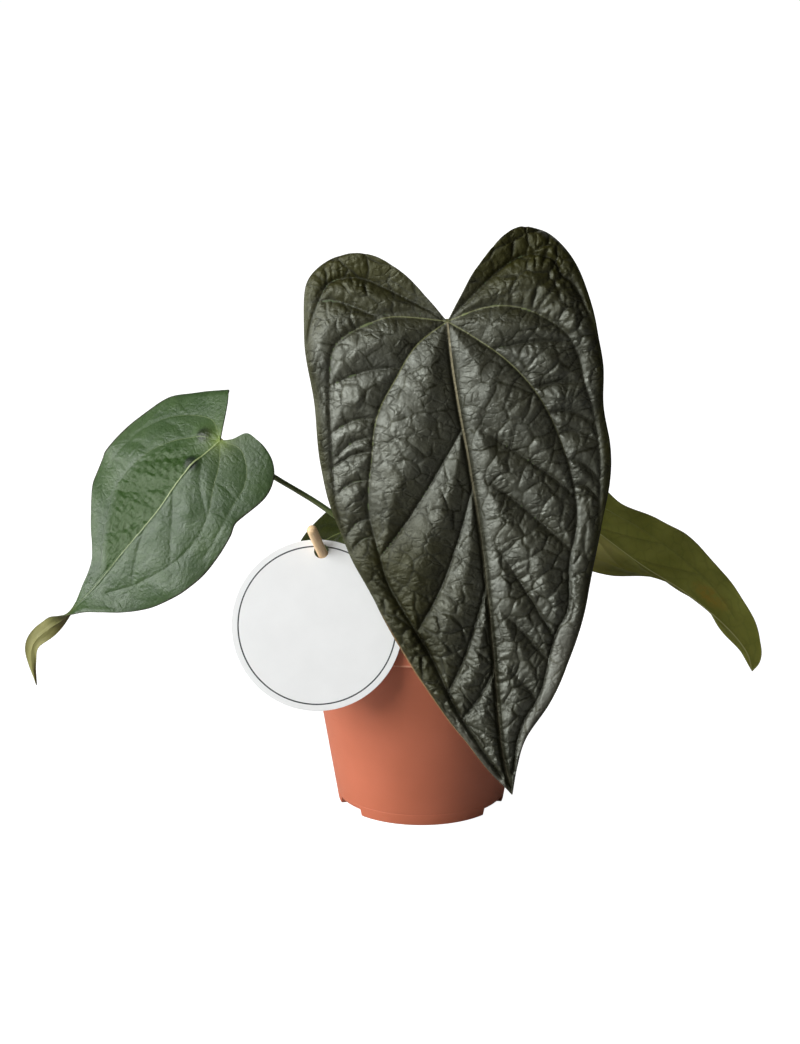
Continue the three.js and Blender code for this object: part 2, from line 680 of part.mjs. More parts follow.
add("pot", makePot(), 0xc0704f, 0.5);
add("soil", makeSoil(), 0x3b2a20, 0.95);
add("crown", makeCrown(), 0x5b5a34, 0.6);
for (const [name, stalk] of Object.entries(STALKS)) add(name, makeStalk(stalk), 0x3f5226, 0.5);
for (const [name, leaf] of Object.entries(LEAVES)) add(name, bladeGeometry(leaf), leaf.color, 0.45);
add("stick", makeStick(), 0xd9a877, 0.7);
add("tag", makeTag(), 0xf0f1f2, 0.6);

export default plant;
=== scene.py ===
import math

import bmesh
import bpy
import numpy as np
from mathutils import Euler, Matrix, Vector, kdtree


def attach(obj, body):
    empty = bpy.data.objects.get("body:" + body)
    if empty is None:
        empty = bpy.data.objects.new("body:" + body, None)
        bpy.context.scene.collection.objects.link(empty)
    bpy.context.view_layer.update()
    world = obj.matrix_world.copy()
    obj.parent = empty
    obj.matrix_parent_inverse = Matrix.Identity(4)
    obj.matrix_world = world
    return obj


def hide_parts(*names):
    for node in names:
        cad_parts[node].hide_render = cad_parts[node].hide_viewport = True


MM = 0.001
PLACE = np.array([11.33, 15.64, 0])
DETAIL = 1.0

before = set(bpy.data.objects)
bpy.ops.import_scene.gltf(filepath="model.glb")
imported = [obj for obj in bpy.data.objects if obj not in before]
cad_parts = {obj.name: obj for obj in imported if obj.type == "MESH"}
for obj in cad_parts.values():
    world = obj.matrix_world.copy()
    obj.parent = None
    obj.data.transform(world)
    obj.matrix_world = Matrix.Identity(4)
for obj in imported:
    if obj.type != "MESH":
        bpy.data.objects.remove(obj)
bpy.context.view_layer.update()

# Camera, light and floor

PHOTO_LENS = 106.48
PHOTO_PLACE = (0.000449, -1.478371, 0.589802)
PHOTO_PITCH = 73.5
AIM = (0.011, 0.016, 0.14)
ROOM_COLOR = (1.0, 0.93, 0.78, 1)
ROOM_STRENGTH = 0.022

# Each light's place, size, watts and colour
LIGHTS = {
    "key": ((-1.5, -0.95, 1.0), 1.55, 52, (0.97, 0.99, 1.0)),
    "front": ((-0.6, -1.7, 1.1), 1.4, 3.5, (1.0, 0.94, 0.8)),
    "edge": ((-1.75, 0.15, 0.5), 0.8, 13, (1, 1, 1)),
    "fill": ((1.5, -1.2, 0.9), 1.4, 0.7, (1, 1, 1)),
    "back": ((0.4, 1.6, 1.5), 1.4, 8, (1, 1, 1)),
}


def link(thing):
    bpy.context.scene.collection.objects.link(thing)
    return thing


def make_camera():
    data = bpy.data.cameras.new("photo_camera")
    data.sensor_fit = "AUTO"
    data.sensor_width = 36
    data.lens = PHOTO_LENS
    camera = link(bpy.data.objects.new("photo_camera", data))
    camera.location = PHOTO_PLACE
    camera.rotation_euler = (math.radians(PHOTO_PITCH), 0, 0)
    bpy.context.scene.camera = camera


def area_light(name, place, size, watts, color):
    data = bpy.data.lights.new(name, "AREA")
    data.shape = "DISK"
    data.size = size
    data.energy = watts
    data.color = color
    light = link(bpy.data.objects.new(name, data))
    light.visible_camera = False
    light.location = place
    light.rotation_euler = (Vector(AIM) - Vector(place)).to_track_quat("-Z", "Y").to_euler()


def make_studio():
    """A white room that lights softly, with a broad key from the upper left and an edge light."""
    scene = bpy.context.scene
    scene.view_settings.view_transform = "Standard"
    world = bpy.data.worlds.new("studio")
    world.use_nodes = True
    nodes, links = world.node_tree.nodes, world.node_tree.links
    room = nodes["Background"]
    room.inputs["Color"].default_value = ROOM_COLOR
    room.inputs["Strength"].default_value = ROOM_STRENGTH
    white = nodes.new("ShaderNodeBackground")
    seen = nodes.new("ShaderNodeLightPath")
    both = nodes.new("ShaderNodeMixShader")
    links.new(seen.outputs["Is Camera Ray"], both.inputs[0])
    links.new(room.outputs[0], both.inputs[1])
    links.new(white.outputs[0], both.inputs[2])
    links.new(both.outputs[0], nodes["World Output"].inputs[0])
    scene.world = world
    for name, light in LIGHTS.items():
        area_light(name, *light)


# Small helpers for curves, noise and meshes


def catmull(points, steps):
    """A uniform Catmull-Rom curve through rows of numbers."""
    rows = np.asarray(points, float)
    ends = np.vstack([2 * rows[0] - rows[1], rows, 2 * rows[-1] - rows[-2]])
    t = np.linspace(0, len(rows) - 1, steps * (len(rows) - 1) + 1)
    i = np.minimum(t.astype(int), len(rows) - 2)
    w = (t - i)[:, None]
    a, b, c, d = (ends[i + k] for k in range(4))
    return 0.5 * (
        2 * b + (c - a) * w + (2 * a - 5 * b + 4 * c - d) * w**2 + (3 * b - a - 3 * c + d) * w**3
    )


def centripetal(points, steps):
    """The centripetal Catmull-Rom curve that the stalks' solids follow."""
    rows = np.asarray(points, float)
    ends = np.vstack([2 * rows[0] - rows[1], rows, 2 * rows[-1] - rows[-2]])
    pieces = []
    for i in range(len(rows) - 1):
        a, b, c, d = ends[i : i + 4]
        u, v, w = (max(math.sqrt(np.linalg.norm(y - x)), 1e-3) for x, y in ((a, b), (b, c), (c, d)))
        start = ((b - a) / u - (c - a) / (u + v) + (c - b) / v) * v
        end = ((c - b) / v - (d - b) / (v + w) + (d - c) / w) * v
        t = np.linspace(0, 1, steps, endpoint=False)[:, None]
        pieces.append(
            b + start * t + (3 * (c - b) - 2 * start - end) * t**2 + (2 * (b - c) + start + end) * t**3
        )
    return np.vstack([*pieces, rows[-1:]])


def wobble(x, y, z, size, seed):
    """Smooth repeatable noise, about -1 to 1, with features of the given size."""
    draw = np.random.default_rng(seed)
    total = np.zeros(np.broadcast(x, y, z).shape)
    for octave in (1, 2.1):
        for _ in range(7):
            direction = draw.normal(size=3)
            direction *= octave * 2 * math.pi / size / np.linalg.norm(direction)
            phase = draw.uniform(0, 2 * math.pi)
            total += np.sin(direction[0] * x + direction[1] * y + direction[2] * z + phase) / octave
    return total / 4


def smoothstep(x, low, high):
    t = np.clip((x - low) / (high - low), 0, 1)
    return t * t * (3 - 2 * t)


def circle(radius, height, sides):
    """Points round an upright axis. The radius is a number or one for each point."""
    angle = np.linspace(0, 2 * math.pi, sides, endpoint=False)
    return np.stack([radius * np.cos(angle), radius * np.sin(angle), np.full(sides, float(height))], -1)


def grid_faces(rows, sides, start=0, closed=True):
    """Quads between rows of points, each row running round or, if not closed, from edge to edge."""
    faces = []
    for i in range(rows):
        for j in range(sides if closed else sides - 1):
            a, b = start + i * sides + j, start + i * sides + (j + 1) % sides
            faces.append([a, b, b + sides, a + sides])
    return faces


def end_faces(rows, sides, start=0):
    """The two ends of a tube made of grid_faces."""
    last = start + rows * sides
    return [list(range(start, start + sides))[::-1], list(range(last, last + sides))]


def make_piece(name, points, faces, slot, replaces=(), materials=(), face_slots=None, sharp=None, **values):
    """A mesh piece from points in millimetres, with float or vector attributes on its points."""
    mesh = bpy.data.meshes.new(name)
    mesh.from_pydata(((np.asarray(points) + PLACE) * MM).tolist(), [], faces)
    mesh.validate()
    mesh.polygons.foreach_set("use_smooth", [True] * len(mesh.polygons))
    for key, value in values.items():
        value = np.asarray(value, np.float32)
        if value.ndim == 2:
            mesh.attributes.new(key, "FLOAT_VECTOR", "POINT").data.foreach_set("vector", value.ravel())
        else:
            mesh.attributes.new(key, "FLOAT", "POINT").data.foreach_set("value", value)
    for material in materials:
        mesh.materials.append(material)
    if face_slots is not None:
        mesh.polygons.foreach_set("material_index", np.asarray(face_slots, np.int32))
    if sharp:
        mesh.set_sharp_from_angle(angle=math.radians(sharp))
    piece = link(bpy.data.objects.new(name, mesh))
    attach(piece, "root")
    if replaces:
        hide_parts(*replaces)
    return piece


# Materials


class Shade:
    """One material's nodes. Any input takes a number, a colour or another node's output."""

    def __init__(self, name):
        self.material = bpy.data.materials.new(name)
        self.material.use_nodes = True
        self.tree = self.material.node_tree
        self.surface = self.tree.nodes["Principled BSDF"]

    def put(self, node, key, value):
        socket = node.inputs[key]
        if isinstance(value, bpy.types.NodeSocket):
            self.tree.links.new(value, socket)
        elif socket.type == "RGBA" and len(value) == 3:
            socket.default_value = (*value, 1)
        else:
            socket.default_value = value

    def node(self, kind, inputs, output=0, **settings):
        made = self.tree.nodes.new("ShaderNode" + kind)
        for key, value in settings.items():
            setattr(made, key, value)
        for key, value in inputs.items():
            self.put(made, key, value)
        return made.outputs[output]

    def value(self, name, output="Fac"):
        return self.node("Attribute", {}, output, attribute_name=name)

    def math(self, operation, a, b=0.0):
        return self.node("Math", {0: a, 1: b}, operation=operation)

    def span(self, value, low, high, start=0.0, end=1.0):
        return self.node("MapRange", {0: value, 1: low, 2: high, 3: start, 4: end}, clamp=True)

    def times(self, a, b):
        return self.math("MULTIPLY", a, b)

    def plus(self, a, b):
        return self.math("ADD", a, b)

    def most(self, first, *others):
        for other in others:
            first = self.math("MAXIMUM", first, other)
        return first

    def part(self, vector, axis):
        return self.node("SeparateXYZ", {0: vector}, axis)

    def mix(self, factor, a, b):
        return self.node("Mix", {0: factor, 6: a, 7: b}, 2, data_type="RGBA")

    def line(self, distance, width):
        """1 on a line and 0 beyond its half width."""
        return self.span(self.math("ABSOLUTE", distance), 0.45 * width, width, 1.0, 0.0)

    def stretched(self, where, scale):
        return self.node("Mapping", {"Vector": where, "Scale": scale})

    def noise(self, where, scale, detail=3.0, roughness=0.5):
        inputs = {"Vector": where, "Scale": scale, "Detail": detail, "Roughness": roughness}
        return self.node("TexNoise", inputs)

    def cracks(self, where, scale):
        inputs = {"Vector": where, "Scale": scale, "Randomness": 0.9}
        return self.node("TexVoronoi", inputs, feature="DISTANCE_TO_EDGE", voronoi_dimensions="3D")

    def bump(self, height, distance, normal=None):
        inputs = {"Height": height, "Distance": distance * MM, "Strength": 1.0}
        if normal is not None:
            inputs["Normal"] = normal
        return self.node("Bump", inputs)

    def finish(self, **inputs):
        for key, value in inputs.items():
            self.put(self.surface, key.replace("_", " "), value)
        return self.material


# What a leaf's look holds unless it says otherwise
PLAIN_LOOK = {"crease": 0.5, "net": 0.35, "pucker": 0.3, "gleam": (1, 1, 1), "wax": 0.0, "ior": 1.5}


def blade_material(name, look):
    """A leaf face: greens in clouds, the vein colour in creases and cell edges (painted shade where it is
    darker), paler on the ribs, with a fine net of cells.
    """
    look = {**PLAIN_LOOK, **look}
    s = Shade(name)
    flat = s.value("flat", "Vector")
    along, across = s.part(flat, 0), s.part(flat, 1)
    color = s.mix(s.span(s.noise(flat, 0.5, 4.0), 0.35, 0.65), look["dark"], look["light"])
    color = s.mix(s.span(s.noise(flat, 14.0, 4.0, 0.6), 0.3, 0.7, 0.0, 0.5), color, look["fleck"])
    # Painted shade in the sunken veins and along the cells' sunken edges: both take the vein colour, which
    # is darker than the face on the upper faces; on the undersides it is the paler colour of their raised
    # veins.
    crease = s.span(s.value("crease"), 0.05, 0.7, look["crease"], 0.0)
    crease = s.times(crease, s.span(s.noise(flat, 2.2), 0.35, 0.6, 0.45, 1.0))
    net = s.span(s.value("cell"), 0.12, 0.7, look["net"], 0.0)
    net = s.times(net, s.span(s.noise(flat, 1.3), 0.34, 0.56, 0.25, 1.0))
    # Where the dull tint takes the sheen away: painted shade in the creases and the net, and further down in
    # the crinkle cracks, beside the midrib, on the lower left and on the lobes; the margin is dulled too.
    matte_and_shade = [crease, net]
    # The lobes' own olive colour, with their sheen dulled as painted shade.
    if "lobe" in look:
        lobe = s.span(s.plus(along, s.times(s.noise(flat, 0.6), 2.0)), 2.6, -1.6)
        color = s.mix(lobe, color, look["lobe"])
        matte_and_shade.append(s.times(lobe, 0.8))
    color = s.mix(net, s.mix(crease, color, look["vein"]), look["vein"])
    normal = s.bump(s.noise(flat, 6.0, 4.0, 0.55), look["pucker"])
    if "crinkle" in look:
        # Painted shade: the fine crinkle cracks take the vein colour and lose their sheen.
        cracks = s.cracks(s.stretched(flat, (1.25, 0.8, 1.0)), 2.4)
        patch = s.span(s.noise(flat, 1.1), 0.38, 0.62)
        crack_shade = s.times(s.span(cracks, 0.02, 0.12, 1.5 * look["crinkle"], 0.0), patch)
        color = s.mix(crack_shade, color, look["vein"])
        normal = s.bump(s.times(s.span(cracks, 0.0, 0.18), patch), look["crinkle"], normal)
        matte_and_shade.append(crack_shade)
    # On the front leaf the paler smooth lower margin; on the left leaf a darker green painted as shade on
    # the crumpled strip.
    if "band" in look:
        color = s.mix(s.times(s.value("band"), 0.85), color, look["band"])
    if "dull" in look:
        # Painted shadow: a dark band without sheen along each side of the midrib; and painted shade that
        # dulls the sheen on the lower left half.
        painted_midrib_shadow = s.span(s.math("ABSOLUTE", s.value("middle")), 1.2, 4.0, 0.8, 0.0)
        painted_midrib_shadow = s.times(painted_midrib_shadow, s.span(along, 0.4, 2.0))
        color = s.mix(painted_midrib_shadow, color, look["vein"])
        lower_left_shade = s.span(s.plus(across, s.noise(flat, 0.5)), 0.5, -3.0, 0.0, 0.8)
        lower_left_shade = s.times(lower_left_shade, s.span(along, 5.0, 11.0))
        matte_and_shade += [painted_midrib_shadow, s.span(s.value("share"), 0.9, 0.97, 0.0, 0.8), lower_left_shade]
    if "puff" in look:
        color = s.mix(s.span(s.value("puff"), 0.25, 0.7, 0.0, 0.85), color, look["puff"])
    for rib, width in zip(("middle", "inner", "outer"), look["ribs"]):
        on = s.times(s.line(s.value(rib), width), s.value(rib + "_pale"))
        color = s.mix(on, color, look["rib" if rib == "middle" else "side_rib"])
    color = age_marks(s, look, color, flat, along, across)
    tint = look["gleam"]
    # Painted shade: the gleam is dulled on the left leaf's crumpled strip.
    if "band_gleam" in look:
        tint = s.mix(s.value("band"), tint, look["band_gleam"])
    if "dull" in look:
        tint = s.mix(s.most(*matte_and_shade), tint, look["dull"])
    return s.finish(
        Base_Color=color,
        Roughness=s.span(s.noise(flat, 1.7, 3.0), 0.35, 0.65, *look["gloss"]),
        Normal=s.bump(s.noise(flat, 26.0, 3.0, 0.6), 0.04, normal),
        Specular_IOR_Level=look["shine"],
        Specular_Tint=tint,
        Coat_Weight=look["wax"],
        Coat_Roughness=0.36,
        IOR=look["ior"],
    )


def age_marks(s, look, color, flat, along, across):
    """The pale star at the stalk, a strip of painted light, a rust stain, the withered tip and the rim."""
    if "star" in look:
        color = s.mix(s.span(s.value("pale"), 0.0, 1.0, 0.0, 0.85), color, look["star"])
    # Painted light: a paler strip on the right half, from the stalk to about 70 mm along.
    if "strip" in look:
        strip = s.times(s.span(across, -0.1, 0.5), s.span(along, 8.0, 6.5))
        color = s.mix(s.times(strip, 0.8), color, look["strip"])
    if "rust" in look:
        along_at, across_at, size = look["rust_at"]
        there, aside = s.plus(along, -along_at), s.plus(across, -across_at)
        spread = s.plus(s.times(there, there), s.times(s.times(aside, aside), 4.0))
        near = s.span(spread, 0.0, size * size, 1.0, 0.0)
        stain = s.times(near, s.span(s.noise(flat, 3.0, 3.0), 0.35, 0.65, 0.1, 0.9))
        color = s.mix(stain, color, look["rust"])
    if "tip" in look:
        withered = s.plus(along, s.times(s.noise(flat, 1.2), 1.6))
        color = s.mix(s.span(withered, 12.0, 13.6), color, look["tip"])
    rim = look["rim"]
    if "edge" in look:
        rim = s.mix(s.times(s.span(along, 13.5, 16.0), s.span(across, 0.0, -0.5)), rim, look["edge"])
    return s.mix(s.span(s.value("share"), 0.975, 0.995), color, rim)


# Leaves. A leaf is drawn flat, as p along the midrib from the stalk and q across it, and then laid on its
# spine, exactly as in the solids' source, with more veins and a finer net.
# spine: x, y, z and roll in degrees; the second point carries the stalk.
# bend: p, slope of the half blade at the midrib in degrees and how much it curls back over 100 mm.
# outline: p and q of one half, from the notch round the lobe to the tip.
# collective: the veins that run round a half, the inner one first. laterals: where one leaves the midrib,
# where it meets the inner vein, and its bow. crossings: where one joins the inner vein and the outer one.
# faint: the mm that laterals and crossings count as farther off close to the midrib, so that they fade in.
# rows, lobe_rows, columns: cells of the upper face; under: how many of them a cell of the under side spans.
# relief: steep and wide shape the pillows between veins, groove sinks the veins, wave lifts the margin, net
# is the height of the cells, cell, stretch and sharp their form, rib the midrib's height, band marks the
# smooth lower margin, and calm and even soften the net by the midrib and on the upper left.
# pale: where a rib's colour starts to fade, where it ends, and what is left; star is the star's reach.
# crumpled: where the crumpled strip starts and ends. puffs: p, q, size and height of each blister.

LEAVES = {
    "leaf_front": {
        "rows": 330,
        "lobe_rows": 60,
        "columns": 108,
        "under": 3,
        "under_ribs": 0.5,
        "facing": (0, -1, 0.25),
        "spine": [
            (8, -12, 309, 0), (12, -36, 259, 0), (16, -45, 228, 0), (22, -53, 196, 0), (28, -62, 161, 0),
            (32, -72, 128.5, 0), (35, -80, 96, 0), (38, -90, 62, 0), (43.5, -95, 37.5, 0),
        ],
        "left": {
            "bend": [(-60, -4, 22), (0, -6, 26), (120, -4, 24), (230, 0, 10)],
            "outline": [
                (0, 0), (-11.3, 8.6), (-23.3, 18.8), (-33.2, 32), (-36.2, 44), (-35.3, 54.1),
                (-28.2, 64.2), (-18, 68.6), (2, 70.2), (33, 69.4), (58, 71.8), (82, 69.7), (106, 64.5),
                (131, 55.3), (156, 45), (175, 35), (192, 25), (206, 15), (221, 6.5), (232, 0),
            ],
            "collective": [
                [(0, 0), (10, 16), (24, 28), (40, 40), (58, 46), (84, 52), (108, 50), (125, 47), (145, 38),
                 (162, 30), (186, 21), (207, 10), (222, 3)],
                [(0, 0), (-4, 22), (-3, 35), (5, 54), (20, 60), (42, 63), (62, 66), (86, 67), (104, 64)],
                [(-2, 2), (-15, 23), (-24, 40), (-24, 54), (-16, 61), (-6, 66), (4, 69)],
                [(-1, 2), (-6, 18), (-6, 34), (-10, 43), (-14, 52), (-15, 60)],
            ],
            "laterals": [(52, 109, 4), (80, 149, 9), (128, 180, 6), (170, 193, 3)],
            "crossings": [(19, 23), (40, 43), (48, 56), (55, 60), (69, 74), (88, 96), (98, 104)],
        },
        "right": {
            "bend": [(-60, -4, 20), (0, -6, 22), (120, -4, 22), (230, 0, 10)],
            "outline": [
                (0, 0), (-10.7, 7), (-24.5, 16.3), (-39.4, 30.6), (-43.6, 42), (-40.2, 53.1),
                (-27.8, 62.7), (-9, 69.7), (14, 72.1), (31, 73), (53, 69.7), (72, 69.2), (90, 66.2),
                (108, 58.6), (131, 50.9), (154, 42.9), (171, 35), (189, 25), (205, 12.6), (219, 5.7),
                (232, 0),
            ],
            "collective": [
                [(0, 0), (9, 12), (21, 25), (37, 36), (59, 44), (85, 48), (104, 47), (122, 41), (143, 38),
                 (157, 30), (183, 21), (198, 11), (221, 3)],
                [(0, 0), (-5, 19), (-3, 37), (9, 54), (24, 61), (41, 62), (59, 64), (84, 62), (106, 58)],
                [(-2, 2), (-14, 16), (-24, 28), (-30, 41), (-27, 53), (-19, 57), (-12, 64), (8, 70)],
            ],
            "laterals": [(47, 93, 1), (71, 117, 2), (96, 157, 4), (135, 168, 1), (159, 186, 2)],
            "crossings": [(16, 17), (39, 41), (53, 61), (63, 69), (76, 88), (88, 97)],
            "faint": 6,
        },
        "relief": {
            "steep": 0.5, "wide": 30, "groove": 0.5, "wave": 1.0, "wavelength": 34, "net": 1.9, "cell": 7.6,
            "stretch": 1.5, "sharp": 1.2, "rib": 0.6, "band": 1, "calm": 0.75, "even": 0.4,
        },
        "pale": {"middle": (10, 110, 0.1), "inner": (35, 105, 0.0), "outer": (15, 65, 0.0), "star": 0},
    },
    "leaf_left": {
        "rows": 220,
        "lobe_rows": 40,
        "columns": 76,
        "under": 2,
        "under_ribs": 0.4,
        "crumpled": (8, 96),
        "puffs": [(4, -9, 4.4, 1.9), (18, -1, 4.2, 1.5), (38, 13, 4.6, 0.8)],
        "facing": (-0.25, -0.75, 0.6),
        "spine": [
            (-79, -2, 212, 0), (-100.5, -8, 192, 0), (-118, -14, 177, 0), (-132, -18, 158, 0),
            (-148, -20, 139, 0), (-165, -20, 118, 0), (-177.8, -20, 105.5, 65), (-186.7, -20, 97.5, 150),
            (-195, -20, 89, 175), (-196.3, -20, 78.5, 180), (-194.5, -20, 66.5, 180),
        ],
        "curl": {"start": (-16.4, -19), "end": (-8.2, -29.2), "radius": 6},
        "left": {
            "bend": [(-30, 10, 25), (0, 8, 25), (60, 6, 30), (120, 4, 10), (170, 0, 0)],
            "outline": [
                (0, 0), (-4.3, 3.7), (-16.2, 14.4), (-20.6, 21), (-23, 28.5), (-21.5, 35.5), (-16, 40),
                (-9, 42.6), (-1, 44.4), (12, 47.8), (24, 51.7), (36, 52.3), (50, 54), (62, 47.8),
                (70.8, 37.4), (79.3, 26.8), (84.8, 18.2), (90, 11.6), (96.5, 7.8), (103, 6.6), (112, 6.3),
                (125, 4.4), (136, 4), (148, 2.6), (156, 1.1), (164, 0),
            ],
            "collective": [
                [(0, 0), (10, 14), (30, 28), (52, 32), (70, 22), (88, 5)],
                [(0, 0), (-4, 14), (6, 30), (24, 42), (44, 45)],
            ],
            "laterals": [(12, 34, 3), (30, 56, 4), (52, 76, 3)],
            "crossings": [(12, 14), (28, 30), (42, 42)],
        },
        "right": {
            "bend": [(-30, 10, 20), (0, 10, 20), (60, 6, 25), (120, 4, 10), (170, 0, 0)],
            "outline": [
                (0, 0), (-5, 4), (-12, 7), (-13.5, 13), (-13.6, 19), (-11.8, 26.1), (-7.3, 32.3),
                (0, 36.7), (8, 38), (28, 37), (37, 38.8), (52, 39.8), (61, 39.2), (71.2, 36.9),
                (83, 31.2), (90, 26.3), (97, 19.8), (104, 12.3), (112, 6.2), (125, 4.8), (136, 5.4),
                (148, 3.3), (164, 0),
            ],
            "collective": [
                [(0, 0), (12, 12), (34, 23), (56, 25), (78, 18), (96, 7)],
                [(0, 0), (-4, 12), (6, 26), (26, 31), (50, 34)],
            ],
            "laterals": [(12, 36, 2), (34, 62, 3), (58, 84, 2)],
            "crossings": [(16, 14), (32, 30), (46, 46)],
        },
        "relief": {
            "steep": 0.1, "wide": 20, "groove": 0.12, "wave": 0.8, "wavelength": 30, "net": 0.3, "cell": 5.5,
            "stretch": 2.4, "sharp": 1.6, "rib": 0.3, "band": 0,
        },
        "pale": {"middle": (20, 110, 0.25), "inner": (15, 60, 0.1), "outer": (10, 50, 0.1), "star": 4},
    },
    "leaf_right": {
        "rows": 200,
        "lobe_rows": 30,
        "columns": 54,
        "under": 1,
        "under_ribs": 0.35,
        "facing": (0.2, 0.85, 0.5),
        "spine": [
            (27, 20, 180.5, 0), (48, 24, 166, 0), (69, 28, 151, 0), (92.5, 32, 132, 0), (115, 34, 114.5, 0),
            (138, 34, 99.5, 0), (158, 31, 83, 0), (169.5, 28, 69.5, 0), (173, 26, 58.5, 0),
        ],
        "left": {
            "bend": [(-30, 0, 6), (0, 0, 6), (60, -2, 8), (120, -2, 4), (165, 0, 0)],
            "outline": [
                (0, 0), (-8, 6), (-17, 14), (-21, 22), (-18, 30), (-8, 33), (10, 31), (30, 26.5),
                (45, 24.6), (56, 26.4), (72, 30.9), (85, 34.3), (97, 32.2), (114, 27.2), (131, 21.4),
                (145, 17), (156.5, 9.3), (165, 4.2), (168.5, 0),
            ],
            "collective": [[(0, 0), (12, 12), (40, 15), (80, 20), (112, 16), (140, 8)]],
            "laterals": [(20, 52, 2), (48, 84, 3), (78, 112, 2)],
            "crossings": [],
        },
        "right": {
            "bend": [
                (-30, 0, 4), (0, -5, 4), (60, -7, 6), (85, -26, 6), (105, -44, 6), (130, -46, 0),
                (165, -20, 0),
            ],
            "outline": [
                (0, 0), (-8, 6), (-17, 14), (-21, 24), (-18, 31), (-8, 36), (10, 38), (30, 38), (50, 38),
                (70, 37.5), (85, 34.9), (100, 30.4), (120, 22), (140, 14.6), (155, 7.8), (164, 2.6),
                (168.5, 0),
            ],
            "collective": [[(0, 0), (12, 14), (40, 22), (80, 19), (112, 12), (140, 6)]],
            "laterals": [(20, 52, 2), (48, 84, 3), (78, 112, 2)],
            "crossings": [],
        },
        "relief": {
            "steep": 0.23, "wide": 9, "groove": 0, "wave": 0.7, "wavelength": 30, "net": 0.2, "cell": 5.5,
            "stretch": 1.4, "sharp": 1.6, "rib": 0, "band": 0,
        },
        "pale": {"middle": (150, 170, 0.4), "inner": (30, 90, 0.1), "outer": (0, 1, 0.0), "star": 12},
    },
    "leaf_back": {
        "rows": 90,
        "lobe_rows": 16,
        "columns": 28,
        "under": 2,
        "under_ribs": 0.3,
        "facing": (-0.5, -0.45, 0.75),
        "spine": [
            (-22, 8, 146, 0), (-33, 18, 139, 0), (-46, 28, 131, 0), (-59, 36, 119, 0), (-69, 42, 99, 0),
        ],
        "left": {
            "bend": [(0, 8, 40), (70, 4, 20)],
            "outline": [
                (0, 0), (-5, 4), (-10, 10), (-13, 17), (-8, 26), (5, 29.5), (20, 29.5), (35, 23.8),
                (49, 10), (60.5, 0),
            ],
            "collective": [[(0, 0), (8, 9), (22, 13), (40, 9), (54, 3)]],
            "laterals": [(8, 24, 1), (20, 38, 1)],
            "crossings": [],
        },
        "right": {
            "bend": [(0, 8, 40), (70, 4, 20)],
            "outline": [
                (0, 0), (-5, 4), (-9, 9), (-9, 15), (-4, 19), (6, 21), (20, 21), (35, 17), (50, 8),
                (60.5, 0),
            ],
            "collective": [[(0, 0), (8, 9), (22, 13), (40, 9), (54, 3)]],
            "laterals": [(8, 24, 1), (20, 38, 1)],
            "crossings": [],
        },
        "relief": {
            "steep": 0.27, "wide": 6, "groove": 0, "wave": 0.4, "wavelength": 20, "net": 0.3, "cell": 4.5,
            "stretch": 1.4, "sharp": 1.4, "rib": 0.2, "band": 0,
        },
        "pale": {"middle": (20, 60, 0.1), "inner": (10, 40, 0.0), "outer": (0, 1, 0.0), "star": 8},
    },
}

CURL_LIMIT = 0.7 * math.pi
BLADE = 0.8
THIN = 0.6
SIDE_VEIN_ANGLE = 40
MIDRIB_CLOSENESS = 0.3
RUNG = 4.4  # between the small veins that leave each vein like the rungs of a ladder


class Spine:
    """A leaf's midrib in space, with its across and outward directions at each distance p."""

    def __init__(self, leaf):
        steps = 60
        rows = catmull(leaf["spine"], steps)
        place = rows[:, :3]
        run = np.concatenate([[0], np.cumsum(np.linalg.norm(np.diff(place, axis=0), axis=1))])
        along = np.gradient(place, axis=0)
        along /= np.linalg.norm(along, axis=1)[:, None]
        across = np.cross(np.asarray(leaf["facing"], float), along)
        across /= np.linalg.norm(across, axis=1)[:, None]
        outward = np.cross(along, across)
        roll = np.radians(rows[:, 3])[:, None]
        self.p = run - run[steps]
        self.place = place
        self.across = across * np.cos(roll) + outward * np.sin(roll)
        self.outward = outward * np.cos(roll) - across * np.sin(roll)

    def at(self, p):
        def read(rows):
            return np.stack([np.interp(p, self.p, rows[:, k]) for k in range(3)], -1)

        return read(self.place), read(self.across), read(self.outward)


def rolled_back(curl, p, q):
    """What lies beyond the curl line rolls back over its radius."""
    if curl is None:
        return p, q, np.zeros_like(p)
    start, end = np.asarray(curl["start"], float), np.asarray(curl["end"], float)
    line = (end - start) / np.linalg.norm(end - start)
    beyond = np.array([-line[1], line[0]])
    if beyond[0] > 0:
        beyond = -beyond
    distance = np.maximum((p - start[0]) * beyond[0] + (q - start[1]) * beyond[1], 0)
    turn = np.minimum(distance / curl["radius"], CURL_LIMIT)
    rest = distance - turn * curl["radius"]
    reach = curl["radius"] * np.sin(turn) + rest * np.cos(turn)
    drop = curl["radius"] * (1 - np.cos(turn)) + rest * np.sin(turn)
    return p + beyond[0] * (reach - distance), q + beyond[1] * (reach - distance), -drop


def on_leaf(leaf, spine, p, q, height):
    """Places in space of points p along and q across a leaf, raised by height."""
    along, across, drop = rolled_back(leaf.get("curl"), p, q)
    side = np.where(across < 0, -1.0, 1.0)
    slope, curve = np.zeros_like(p), np.zeros_like(p)
    for half, mask in (("left", side < 0), ("right", side > 0)):
        bend = np.asarray(leaf[half]["bend"], float)
        slope[mask] = np.radians(np.interp(along[mask], bend[:, 0], bend[:, 1]))
        curve[mask] = np.radians(np.interp(along[mask], bend[:, 0], bend[:, 2])) / 100 + 1e-7
    end = slope + curve * np.abs(across)
    out = side * (np.sin(end) - np.sin(slope)) / curve
    down = (np.cos(slope) - np.cos(end)) / curve
    place, sideways, outward = spine.at(along)
    normal = outward * np.cos(end)[:, None] + sideways * (side * np.sin(end))[:, None]
    place = place + sideways * out[:, None] - outward * down[:, None]
    return place + normal * (height + drop)[:, None]


